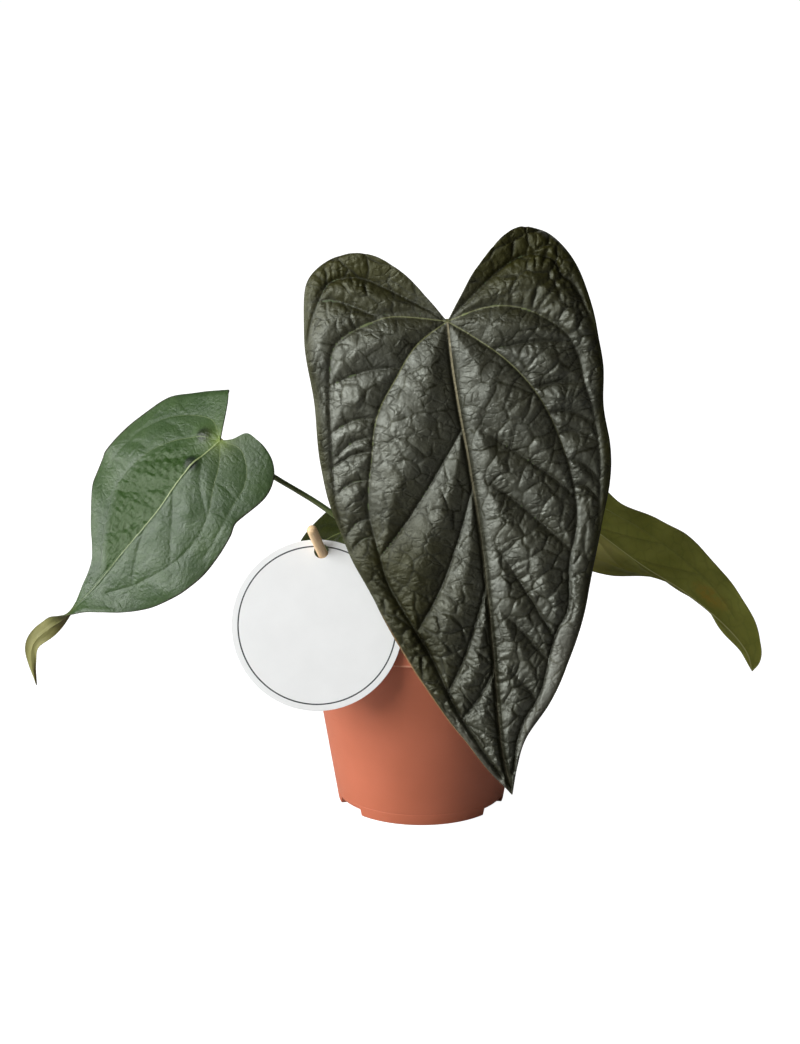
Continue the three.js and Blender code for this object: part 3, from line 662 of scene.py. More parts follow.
def margins(half):
    """Inner edge and outer margin of a half, as q over rising p, with the lobe's length."""
    points = catmull(half["outline"], 40)
    points[:, 1] = np.maximum(points[:, 1], 0)
    apex = int(np.argmin(points[:, 0]))
    inner, outer = points[: apex + 1][::-1], points[apex:]
    return -points[apex, 0], points[-1, 0], inner, np.maximum.accumulate(outer, 0)[:, 0], outer[:, 1]


def veins_of(half, length):
    """The veins of one half as polylines, q positive: the collective ones first, then the midrib."""
    veins = [catmull(line, 8) for line in half["collective"]]
    inner = veins[0]
    outer = veins[1] if len(veins) > 1 else None
    veins.append(np.array([(0, 0), (length, 0)], float))
    for start, stop, bow in half["laterals"]:
        end = np.interp(stop, inner[:, 0], inner[:, 1])
        veins.append(catmull([(start, 0), ((start + stop) / 2 + bow, end * 0.55), (stop, end)], 8))
    for start, stop in half["crossings"]:
        a = np.interp(start, inner[:, 0], inner[:, 1])
        b = np.interp(stop, outer[:, 0], outer[:, 1])
        veins.append(catmull([(start, a), ((2 * start + stop) / 3 - 1.5, (a + b) / 2), (stop, b)], 6))
    return veins


def to_line(points, line):
    """Signed distance of many points from one polyline, and how far along it the nearest point lies."""
    best = np.full(len(points), 1e9)
    sign, along = np.ones(len(points)), np.zeros(len(points))
    start = 0.0
    for a, b in zip(line[:-1], line[1:]):
        step = b - a
        away = points - a
        t = np.clip(away @ step / (step @ step), 0, 1)
        gap = away - t[:, None] * step
        distance = np.hypot(gap[:, 0], gap[:, 1])
        closer = distance < best
        best = np.where(closer, distance, best)
        along = np.where(closer, start + t * math.hypot(*step), along)
        start += math.hypot(*step)
        turned = np.where(step[0] * away[:, 1] - step[1] * away[:, 0] < 0, -1.0, 1.0)
        sign = np.where(closer, turned, sign)
    return best * sign, along


def net_of(p, q, spacing, stretch, seed):
    """Distance from the edges of irregular cells, and each cell's own random number.

    The cells are stretch times longer across the side veins than along them.
    """
    draw = np.random.default_rng(seed)
    turn = math.radians(SIDE_VEIN_ANGLE)
    u = p * math.cos(turn) + np.abs(q) * math.sin(turn)
    v = (np.abs(q) * math.cos(turn) - p * math.sin(turn)) / stretch
    v = np.where(q < 0, -v - 1000, v + 1000)
    u = u + 0.14 * spacing * wobble(u, v, 0, 1.6 * spacing, seed + 1)
    v = v + 0.14 * spacing * wobble(u, v, 0, 1.6 * spacing, seed + 2)
    edge, own = np.empty(len(p)), np.empty(len(p))
    for mine in (q < 0, q >= 0):
        rows = np.arange(u[mine].min() - 3 * spacing, u[mine].max() + 3 * spacing, spacing)
        columns = np.arange(v[mine].min() - 3 * spacing, v[mine].max() + 3 * spacing, 1.15 * spacing)
        sites = np.stack(np.meshgrid(rows, columns, indexing="ij"), -1)
        sites[1::2, :, 1] += 0.5 * spacing
        sites = (sites + draw.uniform(-0.46, 0.46, sites.shape) * spacing).reshape(-1, 2)
        level = draw.uniform(0, 1, len(sites))
        tree = kdtree.KDTree(len(sites))
        for i, (x, y) in enumerate(sites):
            tree.insert((x, y, 0), i)
        tree.balance()
        near_edge, near_own = [], []
        for x, y in zip(u[mine].tolist(), v[mine].tolist()):
            (a, first, near), (b, _, far) = tree.find_n((x, y, 0), 2)
            near_edge.append((far * far - near * near) / (2 * (a - b).length))
            near_own.append(level[first])
        edge[mine], own[mine] = near_edge, near_own
    return edge, own


class LeafGrid:
    """A blade's points as p, q and margin share, with the quads of its fine face and its coarser back."""

    def __init__(self, leaf):
        self.p, self.q, self.share, self.halves = [], [], [], []
        self.fine, self.coarse, self.rim = [], [], []
        step = leaf["under"]
        rows, lobe_rows, columns = (
            step * round(leaf[key] * DETAIL / step) for key in ("rows", "lobe_rows", "columns")
        )
        midrib = None
        for sign, half in ((-1, leaf["left"]), (1, leaf["right"])):
            ids = self.lay_half(sign, half, rows, lobe_rows, columns, midrib)
            if midrib is None:
                midrib = ids[lobe_rows:, 0]
            self.fine += self.quads(ids, sign)
            self.coarse += self.quads(ids[::step, ::step], -sign)
            edge = [*ids[: lobe_rows + 1, 0][::-1], *ids[1:, columns]]
            if sign > 0:
                edge.reverse()
            for i in range(0, len(edge) - 1, step):
                self.rim.append([int(v) for v in edge[i : i + step + 1]])
        self.p, self.q = np.array(self.p, float), np.array(self.q, float)
        self.share, self.halves = np.array(self.share, float), np.array(self.halves)
        self.behind = sorted({v for face in self.coarse for v in face})

    def add(self, p, q, share, sign):
        self.p.append(p)
        self.q.append(q)
        self.share.append(share)
        self.halves.append(sign)
        return len(self.p) - 1

    def lay_half(self, sign, half, rows, lobe_rows, columns, midrib):
        lobe, length, inner, outer_p, outer_q = margins(half)
        places = [-lobe * (1 - (i / lobe_rows) ** 2) for i in range(lobe_rows)]
        places += [length * i / rows for i in range(rows + 1)]
        ids = np.zeros((len(places), columns + 1), int)
        last = len(places) - 1
        for i, p in enumerate(places):
            if i == last:
                ids[i] = self.add(p, 0.0, 1.0, sign) if midrib is None else midrib[-1]
                continue
            low = np.interp(p, inner[:, 0], inner[:, 1]) if p < 0 else 0.0
            high = np.interp(p, outer_p, outer_q)
            if i == 0:
                ids[i] = self.add(p, sign * low, 1.0, sign)
                continue
            close = MIDRIB_CLOSENESS * smoothstep(p, 0, 20)
            for j in range(columns + 1):
                if j == 0 and p >= 0 and midrib is not None:
                    ids[i, 0] = midrib[i - lobe_rows]
                    continue
                t = j / columns
                q = low + (high - low) * ((1 - close) * t + close * t * t)
                ids[i, j] = self.add(p, sign * q, q / high, sign)
        return ids

    @staticmethod
    def quads(ids, sign):
        faces = []
        for i in range(1, ids.shape[0]):
            for j in range(1, ids.shape[1]):
                quad = [ids[i - 1, j - 1], ids[i - 1, j], ids[i, j], ids[i, j - 1]]
                if sign > 0:
                    quad.reverse()
                face = [int(v) for k, v in enumerate(quad) if v != quad[k - 1]]
                if len(face) > 2:
                    faces.append(face)
        return faces


def fading(distance, start, end, floor):
    """1 up to the start, falling to the floor at the end."""
    return 1 - (1 - floor) * smoothstep(distance, start, end)


def vein_distances(leaf, grid):
    """Distance from the nearest vein, the same rounded off, from the collective veins and along the vein."""
    length = leaf["left"]["outline"][-1][0]
    crease, round_crease, rung = np.full(len(grid.p), 1e9), np.zeros(len(grid.p)), np.zeros(len(grid.p))
    inner, outer = np.full(len(grid.p), 99.0), np.full(len(grid.p), 99.0)
    for sign, half in ((-1, leaf["left"]), (1, leaf["right"])):
        mine = grid.halves == sign
        points = np.stack([grid.p[mine], np.abs(grid.q[mine])], -1)
        lines = np.array([to_line(points, vein) for vein in veins_of(half, length)])
        signed, along = lines[:, 0], lines[:, 1]
        apart = np.abs(signed)
        apart[len(half["collective"]) + 1:] += half.get("faint", 0) * (1 - smoothstep(points[:, 1], 2, 18))
        for i in range(len(apart)):
            apart[i] *= 1 + 0.2 * wobble(points[:, 0], points[:, 1], 0, 17, 50 + i)
        crease[mine] = np.min(apart, axis=0)
        round_crease[mine] = np.sum(np.maximum(apart, 0.02) ** -7, axis=0) ** (-1 / 7)
        nearest = np.argmin(apart, axis=0)
        rung[mine] = along[nearest, np.arange(len(nearest))] + 41.7 * nearest
        inner[mine] = signed[0]
        if len(half["collective"]) > 1:
            outer[mine] = signed[1]
    return crease, round_crease, inner, outer, rung


def smooth_margin(relief, p, q, inner):
    """1 on the lower margin beyond the inner collective vein, where the blade is smooth and turned up."""
    low = np.where(q < 0, smoothstep(p, 182, 206), smoothstep(p, 132, 168))
    return smoothstep(inner, 0.3, 2.2) * low * relief["band"]


def crumpled_strip(leaf, p, q, inner):
    """1 on the crumpled strip between the midrib and the left half's collective vein."""
    start, stop = leaf["crumpled"]
    strip = smoothstep(-inner, 0.5, 4) * (q < 0) * smoothstep(p, start, start + 16)
    return strip * (1 - smoothstep(p, stop - 12, stop))


def pillows(relief, grid, crease, round_crease):
    """How the blade rises between its veins, in mm, with sunken veins and a waved margin."""
    p, q, share = grid.p, grid.q, grid.share
    height = relief["steep"] * round_crease / (1 + round_crease / relief["wide"]) * (1 - share**8)
    groove = np.exp(-((crease / 0.75) ** 2))
    groove += 0.8 * np.exp(-(((np.abs(q) - 1.15) / 0.45) ** 2)) * (p > 0)
    height -= relief["groove"] * groove * smoothstep(np.hypot(p, q), 4, 16) * (1 - share**6)
    return height + relief["wave"] * share**3 * np.sin(2 * math.pi * p / relief["wavelength"])


def swell_of(relief, grid, crease, inner, outer, smooth):
    """How strongly the net stands out: not at veins, rims and smooth parts, most beside the margin."""
    p, q, share = grid.p, grid.q, grid.share
    swell = np.clip(0.8 + 0.38 * wobble(p, q, 0, 38, 3), 0.35, 1)
    swell *= 0.3 + 0.7 * smoothstep(np.hypot(p, q), 15, 60)
    swell *= smoothstep(crease, 0, 1.6) * (1 - share**14) * (1 - 0.8 * smooth)
    lower = smoothstep(p, 105, 130)
    beside = smoothstep(outer, 0.5, 2) * (outer < 50) * (1 - lower) + smoothstep(inner, 0.5, 2) * lower
    swell *= 1 + 0.9 * beside
    swell *= 1 - relief.get("even", 0) * (q < 0) * (1 - smoothstep(p, 100, 160))
    by_midrib = (1 - smoothstep(np.abs(q), 3, 15)) * (1 - smoothstep(p, 90, 170))
    return swell * (1 - relief.get("calm", 0) * by_midrib)


def net_relief(relief, p, q, crease, rung):
    """The cells' height in mm, parted by rungs beside the veins, and the distance to the nearest edge."""
    edge, level = net_of(p, q, relief["cell"], relief["stretch"], 5)
    turn = rung / RUNG + 0.3 * wobble(p, q, 0, 11, 21)
    edge = np.minimum(edge, RUNG * np.abs(turn - np.round(turn)) + 0.15 * crease)
    cells = relief["net"] * (0.45 + 0.55 * level) * (1 - np.exp(-edge / relief["sharp"]))
    small_edge, small_level = net_of(p, q, 0.5 * relief["cell"], 1.1, 31)
    small = 0.3 * relief["net"] * (0.2 + 0.8 * small_level) * (1 - np.exp(-small_edge / 0.9))
    small *= np.clip(0.5 + 0.7 * wobble(p, q, 0, 16, 12), 0, 1)
    return cells + small + 0.06 * wobble(p, q, 0, 3, 14), edge


def blade(node, leaf, upper, under, slot):
    """One leaf's blade as a closed skin, fine above and coarser below; gives back its spine."""
    grid = LeafGrid(leaf)
    p, q, share = grid.p, grid.q, grid.share
    relief, pale = leaf["relief"], leaf["pale"]
    crease, round_crease, inner, outer, rung = vein_distances(leaf, grid)
    band = smooth_margin(relief, p, q, inner)
    swell = swell_of(relief, grid, crease, inner, outer, band)
    height = pillows(relief, grid, crease, round_crease) + 0.22 * band * np.clip(inner, 0, 12)
    if "crumpled" in leaf:
        band = crumpled_strip(leaf, p, q, inner)
        height += 0.3 * band * wobble(p, q, 0, 3.4, 60)
    puff = np.zeros(len(p))
    for along, across, size, rise in leaf.get("puffs", ()):
        bump = np.exp(-((p - along) ** 2 + (q - across) ** 2) / size**2)
        height += rise * bump
        puff = np.maximum(puff, bump * (rise > 1))
    net, edge = net_relief(relief, p, q, crease, rung)
    midrib = relief["rib"] * np.exp(-((q / 0.75) ** 4)) * fading(p, 60, 220, 0.2) * (p > -1)
    spine = Spine(leaf)
    top = on_leaf(leaf, spine, p, q, height + net * swell + midrib)
    behind = np.array(grid.behind)
    thickness = THIN * (1 - 0.5 * share[behind] ** 4)
    ribs = leaf["under_ribs"] * np.exp(-((crease[behind] / 0.9) ** 2)) * (1 - share[behind] ** 4)
    bottom = on_leaf(leaf, spine, p[behind], q[behind], height[behind] - thickness - ribs)
    place_of = {int(v): len(p) + i for i, v in enumerate(behind)}
    below = [[place_of[v] for v in face] for face in grid.coarse]
    strip = [[*run[::-1], place_of[run[0]], place_of[run[-1]]] for run in grid.rim if run[0] != run[-1]]
    reach = np.hypot(p, q)
    star = np.exp(-reach / pale["star"]) if pale["star"] else np.zeros(len(p))
    values = {
        "flat": np.stack([p / 10, q / 10, np.zeros(len(p))], -1),
        "crease": crease,
        "cell": edge,
        "middle": q,
        "inner": inner,
        "outer": outer,
        "middle_pale": fading(p, *pale["middle"]) * (p > -2),
        "inner_pale": fading(reach, *pale["inner"]),
        "outer_pale": fading(reach, *pale["outer"]),
        "pale": star,
        "share": share,
        "band": band,
        "puff": puff,
    }
    values = {key: np.concatenate([value, value[behind]]) for key, value in values.items()}
    slots = [0] * len(grid.fine) + [1] * (len(below) + len(strip))
    make_piece(
        node.replace("leaf", "blade"), np.vstack([top, bottom]), grid.fine + below + strip, slot, [node],
        [upper, under], slots, **values,
    )
    return spine


# The vein colour paints shade in the creases and cell edges. The dull tint takes the sheen away as painted
# shade in those places, beside the midrib, on the lower left and on the lobes. It also dulls the margin.
FRONT_LOOK = {
    "dark": (0.0085, 0.0078, 0.0008), "light": (0.017, 0.0155, 0.0016), "fleck": (0.024, 0.0215, 0.0035),
    "lobe": (0.027, 0.025, 0.0028), "vein": (0.004, 0.0036, 0.001), "rib": (0.34, 0.3, 0.19),
    "side_rib": (0.14, 0.145, 0.06), "band": (0.05, 0.046, 0.034), "rim": (0.03, 0.03, 0.01),
    "ribs": (0.7, 0.42, 0.4), "gloss": (0.49, 0.62), "shine": 1.0, "net": 0.8, "crease": 0.9,
    "crinkle": 0.25, "gleam": (0.96, 1.0, 0.9), "wax": 0.05, "ior": 1.66, "dull": (0.1, 0.1, 0.03),
    "edge": (0.26, 0.15, 0.06),
}
TIP_COLOR = (0.2, 0.19, 0.062)
LEFT_LOOK = {
    "dark": (0.026, 0.056, 0.015), "light": (0.05, 0.088, 0.029), "fleck": (0.07, 0.11, 0.045),
    "vein": (0.018, 0.04, 0.01), "rib": (0.25, 0.3, 0.13), "side_rib": (0.1, 0.14, 0.055),
    "rim": (0.03, 0.02, 0.015), "ribs": (0.38, 0.3, 0.3), "star": (0.2, 0.27, 0.05), "gloss": (0.36, 0.48),
    # The band colour and its gleam paint shade on the crumpled strip: a darker green and a duller sheen.
    "shine": 0.4, "crease": 0.4, "net": 0.3, "crinkle": 0.1, "band": (0.017, 0.045, 0.006),
    "band_gleam": (0.66, 0.72, 0.55), "puff": (0.004, 0.007, 0.007), "tip": TIP_COLOR,
}
OLIVE_LOOK = {
    "dark": (0.19, 0.2, 0.03), "light": (0.27, 0.28, 0.055), "fleck": (0.24, 0.25, 0.05),
    "vein": (0.15, 0.16, 0.03), "rib": (0.46, 0.46, 0.19), "side_rib": (0.36, 0.37, 0.12),
    "rim": (0.2, 0.19, 0.06), "ribs": (0.32, 0.3, 0.3), "star": (0.2, 0.24, 0.06), "gloss": (0.6, 0.75),
    "shine": 0.2, "pucker": 0.12, "crease": 0.6, "rust": (0.34, 0.22, 0.03),
    # The strip colour is painted light on the olive underside.
    "rust_at": (12.35, -0.75, 1.3), "strip": (0.5, 0.47, 0.15),
}
BACK_LOOK = {
    "dark": (0.032, 0.045, 0.003), "light": (0.052, 0.066, 0.006), "fleck": (0.06, 0.07, 0.01),
    "vein": (0.012, 0.02, 0.008), "rib": (0.25, 0.3, 0.1), "side_rib": (0.1, 0.12, 0.04),
    "rim": (0.03, 0.03, 0.015), "ribs": (0.5, 0.3, 0.3), "star": (0.1, 0.14, 0.03), "gloss": (0.45, 0.6),
    "shine": 0.25,
}
UNDER_LOOK = {
    "dark": (0.045, 0.07, 0.025), "light": (0.075, 0.1, 0.038), "fleck": (0.09, 0.11, 0.05),
    "vein": (0.1, 0.13, 0.05), "rib": (0.32, 0.34, 0.14), "side_rib": (0.2, 0.22, 0.09),
    "rim": (0.06, 0.07, 0.025), "ribs": (0.9, 0.6, 0.5), "gloss": (0.55, 0.7), "shine": 0.35, "pucker": 0.2,
}


# Stalks and stem

STALK_PATHS = {
    "leaf_front": [(3, 4, 90), (5, 8, 130), (9, 10, 190), (12, 1, 236), (12.5, -17, 254)],
    "leaf_left": [(-1.5, 4, 92), (-14, 2, 122), (-46, -1, 152.8), (-74, 1, 170.5), (-93, 3, 182)],
    "leaf_right": [(6.5, 6, 91), (13, 10, 122), (29, 14, 149), (42, 9, 158)],
    "leaf_back": [(0.5, 9, 93), (-6, 15, 113), (-20, 24, 125), (-28, 27, 130)],
}


STALK_RADIUS = 1.7
STALK_SIDES = 20


def sweep(points, radii, run, sides, girth):
    """A rod along a path: its points and faces, and where they lie on its skin in cm, with run in mm."""
    along = np.gradient(points, axis=0)
    along /= np.linalg.norm(along, axis=1)[:, None]
    across = np.cross(along[0], (0.3, 1, 0.1))
    rings = []
    for place, direction, radius in zip(points, along, radii):
        across = across - direction * (across @ direction)
        across /= np.linalg.norm(across)
        third = np.cross(direction, across)
        angle = np.linspace(0, 2 * math.pi, sides, endpoint=False)[:, None]
        rings.append(place + radius * (np.cos(angle) * across + np.sin(angle) * third))
    rows = len(rings) - 1
    flat = np.vstack([circle(girth, depth / 10, sides) for depth in run])
    return np.vstack(rings), grid_faces(rows, sides) + end_faces(rows, sides), flat


def stalk_material():
    s = Shade("leaf_stalk")
    flat = s.value("flat", "Vector")
    streak = s.noise(s.stretched(flat, (9.0, 9.0, 0.5)), 1.0, 4.0, 0.6)
    color = s.mix(s.span(streak, 0.35, 0.65), (0.09, 0.13, 0.045), (0.17, 0.21, 0.075))
    young = s.value("young")
    color = s.mix(young, color, (0.22, 0.23, 0.075))
    speck = s.span(s.noise(flat, 9.0, 2.0), 0.62, 0.7)
    color = s.mix(s.times(speck, 0.4), color, (0.12, 0.09, 0.04))
    normal = s.bump(streak, 0.12)
    return s.finish(Base_Color=color, Roughness=s.span(streak, 0.3, 0.7, 0.32, 0.5), Normal=normal)


def make_stalks(spines):
    """The four stalks, each from the stem to the second point of its leaf's spine."""
    material = stalk_material()
    for leaf_name, path in STALK_PATHS.items():
        place, _, outward = (x[0] for x in spines[leaf_name].at(np.array([0.0])))
        end = place - outward * (BLADE + 0.3)
        points = centripetal([*path, end - outward * 4, end], 14)
        points = points[np.concatenate([[True], np.linalg.norm(np.diff(points, axis=0), axis=1) > 0.05])]
        run = np.concatenate([[0], np.cumsum(np.linalg.norm(np.diff(points, axis=0), axis=1))])
        share = run / run[-1]
        radii = STALK_RADIUS - 0.45 * smoothstep(share, 0, 0.9)
        radii += 0.3 * np.exp(-(((run[-1] - run) - 5) / 4) ** 2)
        radii *= 1 + 0.03 * wobble(run, 0, 0, 14, 8)
        points = np.vstack([points, points[-1] + outward * 0.5])
        radii = np.append(radii, radii[-1] * 1.1)
        run = np.append(run, run[-1] + 0.5)
        rings, faces, flat = sweep(points, radii, run, STALK_SIDES, 0.2)
        young = np.repeat(smoothstep(run[-1] - run, 14, 2), STALK_SIDES)
        name = "stalk" + leaf_name[4:]
        make_piece(
            name + "_skin", rings, faces, "stalk", [name], [material], sharp=50, flat=flat, young=young
        )


CROWN = {"x": 2, "y": 5, "radius": 7.3, "bottom": 70, "top": 104}


def crown_materials():
    """The stem's skin and the dry sheaths round it."""
    s = Shade("stem_skin")
    flat = s.value("flat", "Vector")
    patch = s.noise(flat, 2.5, 4.0, 0.6)
    color = s.mix(s.span(patch, 0.4, 0.62), (0.055, 0.07, 0.02), (0.12, 0.09, 0.04))
    ring = s.noise(s.stretched(flat, (0.4, 0.4, 6.0)), 1.0, 3.0)
    color = s.mix(s.span(ring, 0.5, 0.75, 0.0, 0.6), color, (0.05, 0.035, 0.02))
    stem = s.finish(Base_Color=color, Roughness=0.62, Normal=s.bump(ring, 0.4, s.bump(patch, 0.3)))
    s = Shade("dry_sheath")
    flat = s.value("flat", "Vector")
    fibre = s.noise(s.stretched(flat, (9.0, 9.0, 0.7)), 1.4, 5.0, 0.65)
    color = s.mix(s.span(fibre, 0.32, 0.66), (0.075, 0.04, 0.02), (0.27, 0.17, 0.09))
    green = s.span(s.part(flat, 2), 0.0, 1.1, 0.7, 0.0)
    color = s.mix(green, color, (0.12, 0.13, 0.04))
    sheath = s.finish(Base_Color=color, Roughness=0.75, Normal=s.bump(fibre, 0.35))
    return stem, sheath


def sheath_sheet(foot, height, radius, heading, width, lean):
    """One papery scale that wraps the stem and narrows to a torn tip."""
    rows, columns = 22, 14
    points, flat = [], []
    for i in range(rows + 1):
        v = i / rows
        spread = width * (1 - v**2.2) ** 0.7 + 0.03
        out = radius + lean * v**2 + 0.35 * math.sin(9 * v + heading)
        for j in range(columns + 1):
            u = 2 * j / columns - 1
            angle = heading + u * spread
            ragged = 0.8 * math.sin(7 * u + 5 * heading) * v**3
            r = out + 0.4 * u * u
            points.append((r * math.cos(angle), r * math.sin(angle), foot + height * v + ragged))
            flat.append((u * spread * radius / 10, 0, height * v / 10))
    return np.array(points), grid_faces(rows, columns + 1, closed=False), np.array(flat)


def closed_sheet(points, faces, thickness):
    """A sheet with a back face and a closed edge."""
    normals = np.zeros_like(points)
    quads = np.array(faces)
    first, second, third, fourth = (points[quads[:, k]] for k in range(4))
    weighted = np.cross(third - first, fourth - second)
    for k in range(4):
        np.add.at(normals, quads[:, k], weighted)
    normals /= np.maximum(np.linalg.norm(normals, axis=1), 1e-9)[:, None]
    count = len(points)
    sides = {}
    for face in faces:
        for k, v in enumerate(face):
            if (v, face[k - 1]) in sides:
                del sides[v, face[k - 1]]
            else:
                sides[face[k - 1], v] = True
    strip = [[v, u, u + count, v + count] for u, v in sides]
    below = [[v + count for v in reversed(face)] for face in faces]
    return np.vstack([points, points - normals * thickness]), faces + below + strip


def make_crown():
    stem, sheath = crown_materials()
    rows, sides = 44, 48
    points = []
    radius, bottom, top = CROWN["radius"], CROWN["bottom"], CROWN["top"]
    profile = [(0, 0.72), (0.2, 0.95), (0.5, 1.0), (0.72, 0.98), (0.86, 0.9), (0.95, 0.72), (1, 0.45)]
    shares = np.linspace(0, 1, rows + 1)
    width = np.interp(shares, *np.array(profile).T)
    for v, w in zip(shares, width):
        z = bottom + (top - bottom) * v
        ringed = 1 + 0.025 * math.sin(z * 1.9)
        bumpy = 1 + 0.05 * wobble(*circle(7, z, sides).T, 9, 21)
        points.append(circle(radius * w * ringed * bumpy, z, sides))
    faces = grid_faces(rows, sides) + end_faces(rows, sides)
    slots = [0] * len(faces)
    points = np.vstack(points)
    flat = points / 10
    for heading, foot, height, reach, spread, lean in (
        (0.9, 84, 24, 6.9, 1.0, -0.8),
        (2.5, 85, 21, 6.8, 0.95, 0.4),
        (4.1, 84, 26, 6.9, 1.0, -0.6),
        (5.6, 86, 18, 7.0, 0.9, 1.0),
        (1.7, 88, 15, 7.6, 0.6, 0.8),
        (3.4, 88, 13, 7.7, 0.6, 1.2),
    ):
        sheet, quads, spot = sheath_sheet(foot, height, reach, heading, spread, lean)
        solid, skin = closed_sheet(sheet, quads, 0.35)
        faces += [[v + len(points) for v in face] for face in skin]
        slots += [1] * len(skin)
        points = np.vstack([points, solid])
        flat = np.vstack([flat, spot, spot])
    points = points + (CROWN["x"], CROWN["y"], 0)
    make_piece("crown_stem", points, faces, "stem", ["crown"], [stem, sheath], slots, sharp=60, flat=flat)


# Pot

POT = {
    "height": 105, "rim": 60, "band": 14.9, "wall_top": 57.6, "base": 42.5, "wall": 1.5, "foot": 4,
    "foot_width": 3, "lip": 2, "notch": 3.5, "notch_half": 10,
}
POT_SIDES = 160
NOTCH_ANGLES = (-28, -150, 90)
DRAINS = {"radius": 4, "circle": 27, "count": 6}


def wall_radius(z):
    """The pot's outer radius under its rim band at height z."""
    return POT["base"] + (POT["wall_top"] - POT["base"]) * z / (POT["height"] - POT["band"])


def rounded(corners):
    """A profile from (radius, height, rounding) corners, each rounded by short steps."""
    out = []
    for i, (r, z, size) in enumerate(corners):
        here = np.array([r, z], float)
        if not size:
            out.append(here)
            continue
        before = np.array(corners[i - 1][:2], float) - here
        after = np.array(corners[i + 1][:2], float) - here
        a = here + before / np.linalg.norm(before) * size
        b = here + after / np.linalg.norm(after) * size
        for t in np.linspace(0, 1, 6):
            out.append((1 - t) ** 2 * a + 2 * t * (1 - t) * here + t * t * b)
    return np.array(out)


def pot_material():
    s = Shade("terracotta_plastic")
    flat = s.value("flat", "Vector")
    cloud = s.noise(flat, 0.35, 3.0)
    color = s.mix(s.span(cloud, 0.35, 0.65), (0.52, 0.148, 0.076), (0.56, 0.162, 0.086))
    speck = s.span(s.noise(flat, 30.0, 2.0), 0.66, 0.74, 0.0, 0.35)
    color = s.mix(speck, color, (0.4, 0.13, 0.07))
    # Painted highlight: a paler line along the lower edge of the rim band.
    height = s.part(flat, 2)
    edge = s.math("ABSOLUTE", s.math("SUBTRACT", height, (POT["height"] - POT["band"] + 0.45) / 10))
    color = s.mix(s.span(edge, 0.03, 0.055, 0.6, 0.0), color, (0.8, 0.4, 0.26))
    turned = s.noise(s.stretched(flat, (0.15, 0.15, 9.0)), 1.0, 3.0)
    grain = s.noise(flat, 42.0, 2.0)
    scuff = s.span(s.noise(s.stretched(flat, (0.6, 0.6, 4.0)), 1.3, 5.0, 0.65), 0.6, 0.75, 0.0, 0.09)
    rough = s.plus(s.span(cloud, 0.3, 0.7, 0.4, 0.47), scuff)
    normal = s.bump(turned, 0.05, s.bump(grain, 0.025))
    return s.finish(Base_Color=color, Roughness=rough, Normal=normal, Specular_IOR_Level=0.5)


def make_pot():
    band_foot = POT["height"] - POT["band"]
    lip = POT["rim"] - POT["lip"]
    base, wall, foot = POT["base"], POT["wall"], POT["foot"]
    low = band_foot - 1
    corners = [
        (0, foot, 0),
        (base - POT["foot_width"], foot, 0.6),
        (base - POT["foot_width"], 0, 0.4),
        (base, 0, 0.6),
        (wall_radius(5.6), 5.6, 0.15),
        (wall_radius(5.9) - 0.12, 5.9, 0.1),
        (wall_radius(6.3), 6.3, 0.15),
        (wall_radius(30), 30, 0),
        (wall_radius(60), 60, 0),
        (POT["wall_top"], band_foot, 0.3),
        (POT["rim"] - 0.15, band_foot + 0.1, 0.2),
        (POT["rim"] - 0.15, band_foot + 0.8, 0.2),
        (POT["rim"] - 0.5, band_foot + 1.3, 0.4),
        (POT["rim"], POT["height"], 0.9),
        (lip, POT["height"], 0.7),
        (lip - 0.5, band_foot + 1, 0.6),
        (POT["wall_top"] - wall, low, 0.8),
        (wall_radius(60) - wall, 60, 0),
        (wall_radius(foot + wall) - wall, foot + wall, 0.8),
        (0, foot + wall, 0),
    ]
    profile = rounded(corners)
    sides = np.arange(0, 360, 360 / POT_SIDES)
    half = math.degrees(math.asin(POT["notch_half"] / (base - 1)))
    for notch in NOTCH_ANGLES:
        for edge in (-half, half):
            sides = np.append(sides, [(notch + edge + step) % 360 for step in (-0.9, -0.45, 0, 0.45, 0.9)])
    sides = np.unique(np.round(sides, 3))
    points = []
    for angle in sides:
        away = min(abs((angle - notch + 180) % 360 - 180) for notch in NOTCH_ANGLES)
        floor = POT["notch"] * (1 - smoothstep(away, half - 0.9, half + 0.9))
        a = math.radians(angle)
        for r, z in profile:
            lifted = max(z, floor) if r > base - POT["foot_width"] - 1 and z < foot else z
            points.append((r * math.cos(a), r * math.sin(a), lifted))
    rows, count = len(profile), len(sides)
    faces = []
    for j in range(count):
        k = (j + 1) % count
        for i in range(rows - 1):
            faces.append([j * rows + i, k * rows + i, k * rows + i + 1, j * rows + i + 1])
    points = np.array(points)
    material = pot_material()
    piece = make_piece(
        "pot_shell", points, faces, "pot_plastic", ["pot"], [material], sharp=35, flat=points / 10
    )
    mesh = bmesh.new()
    mesh.from_mesh(piece.data)
    bmesh.ops.remove_doubles(mesh, verts=mesh.verts, dist=0.005 * MM)
    bmesh.ops.dissolve_degenerate(mesh, edges=mesh.edges, dist=0.005 * MM)
    mesh.to_mesh(piece.data)
    mesh.free()
    cutter = cylinders("drain_cutter", DRAINS)
    cut = piece.modifiers.new("drains", "BOOLEAN")
    cut.operation = "DIFFERENCE"
    cut.solver = "EXACT"
    cut.object = cutter
    solid = bpy.data.meshes.new_from_object(piece.evaluated_get(bpy.context.evaluated_depsgraph_get()))
    piece.modifiers.clear()
    piece.data = solid
    bpy.data.objects.remove(cutter)


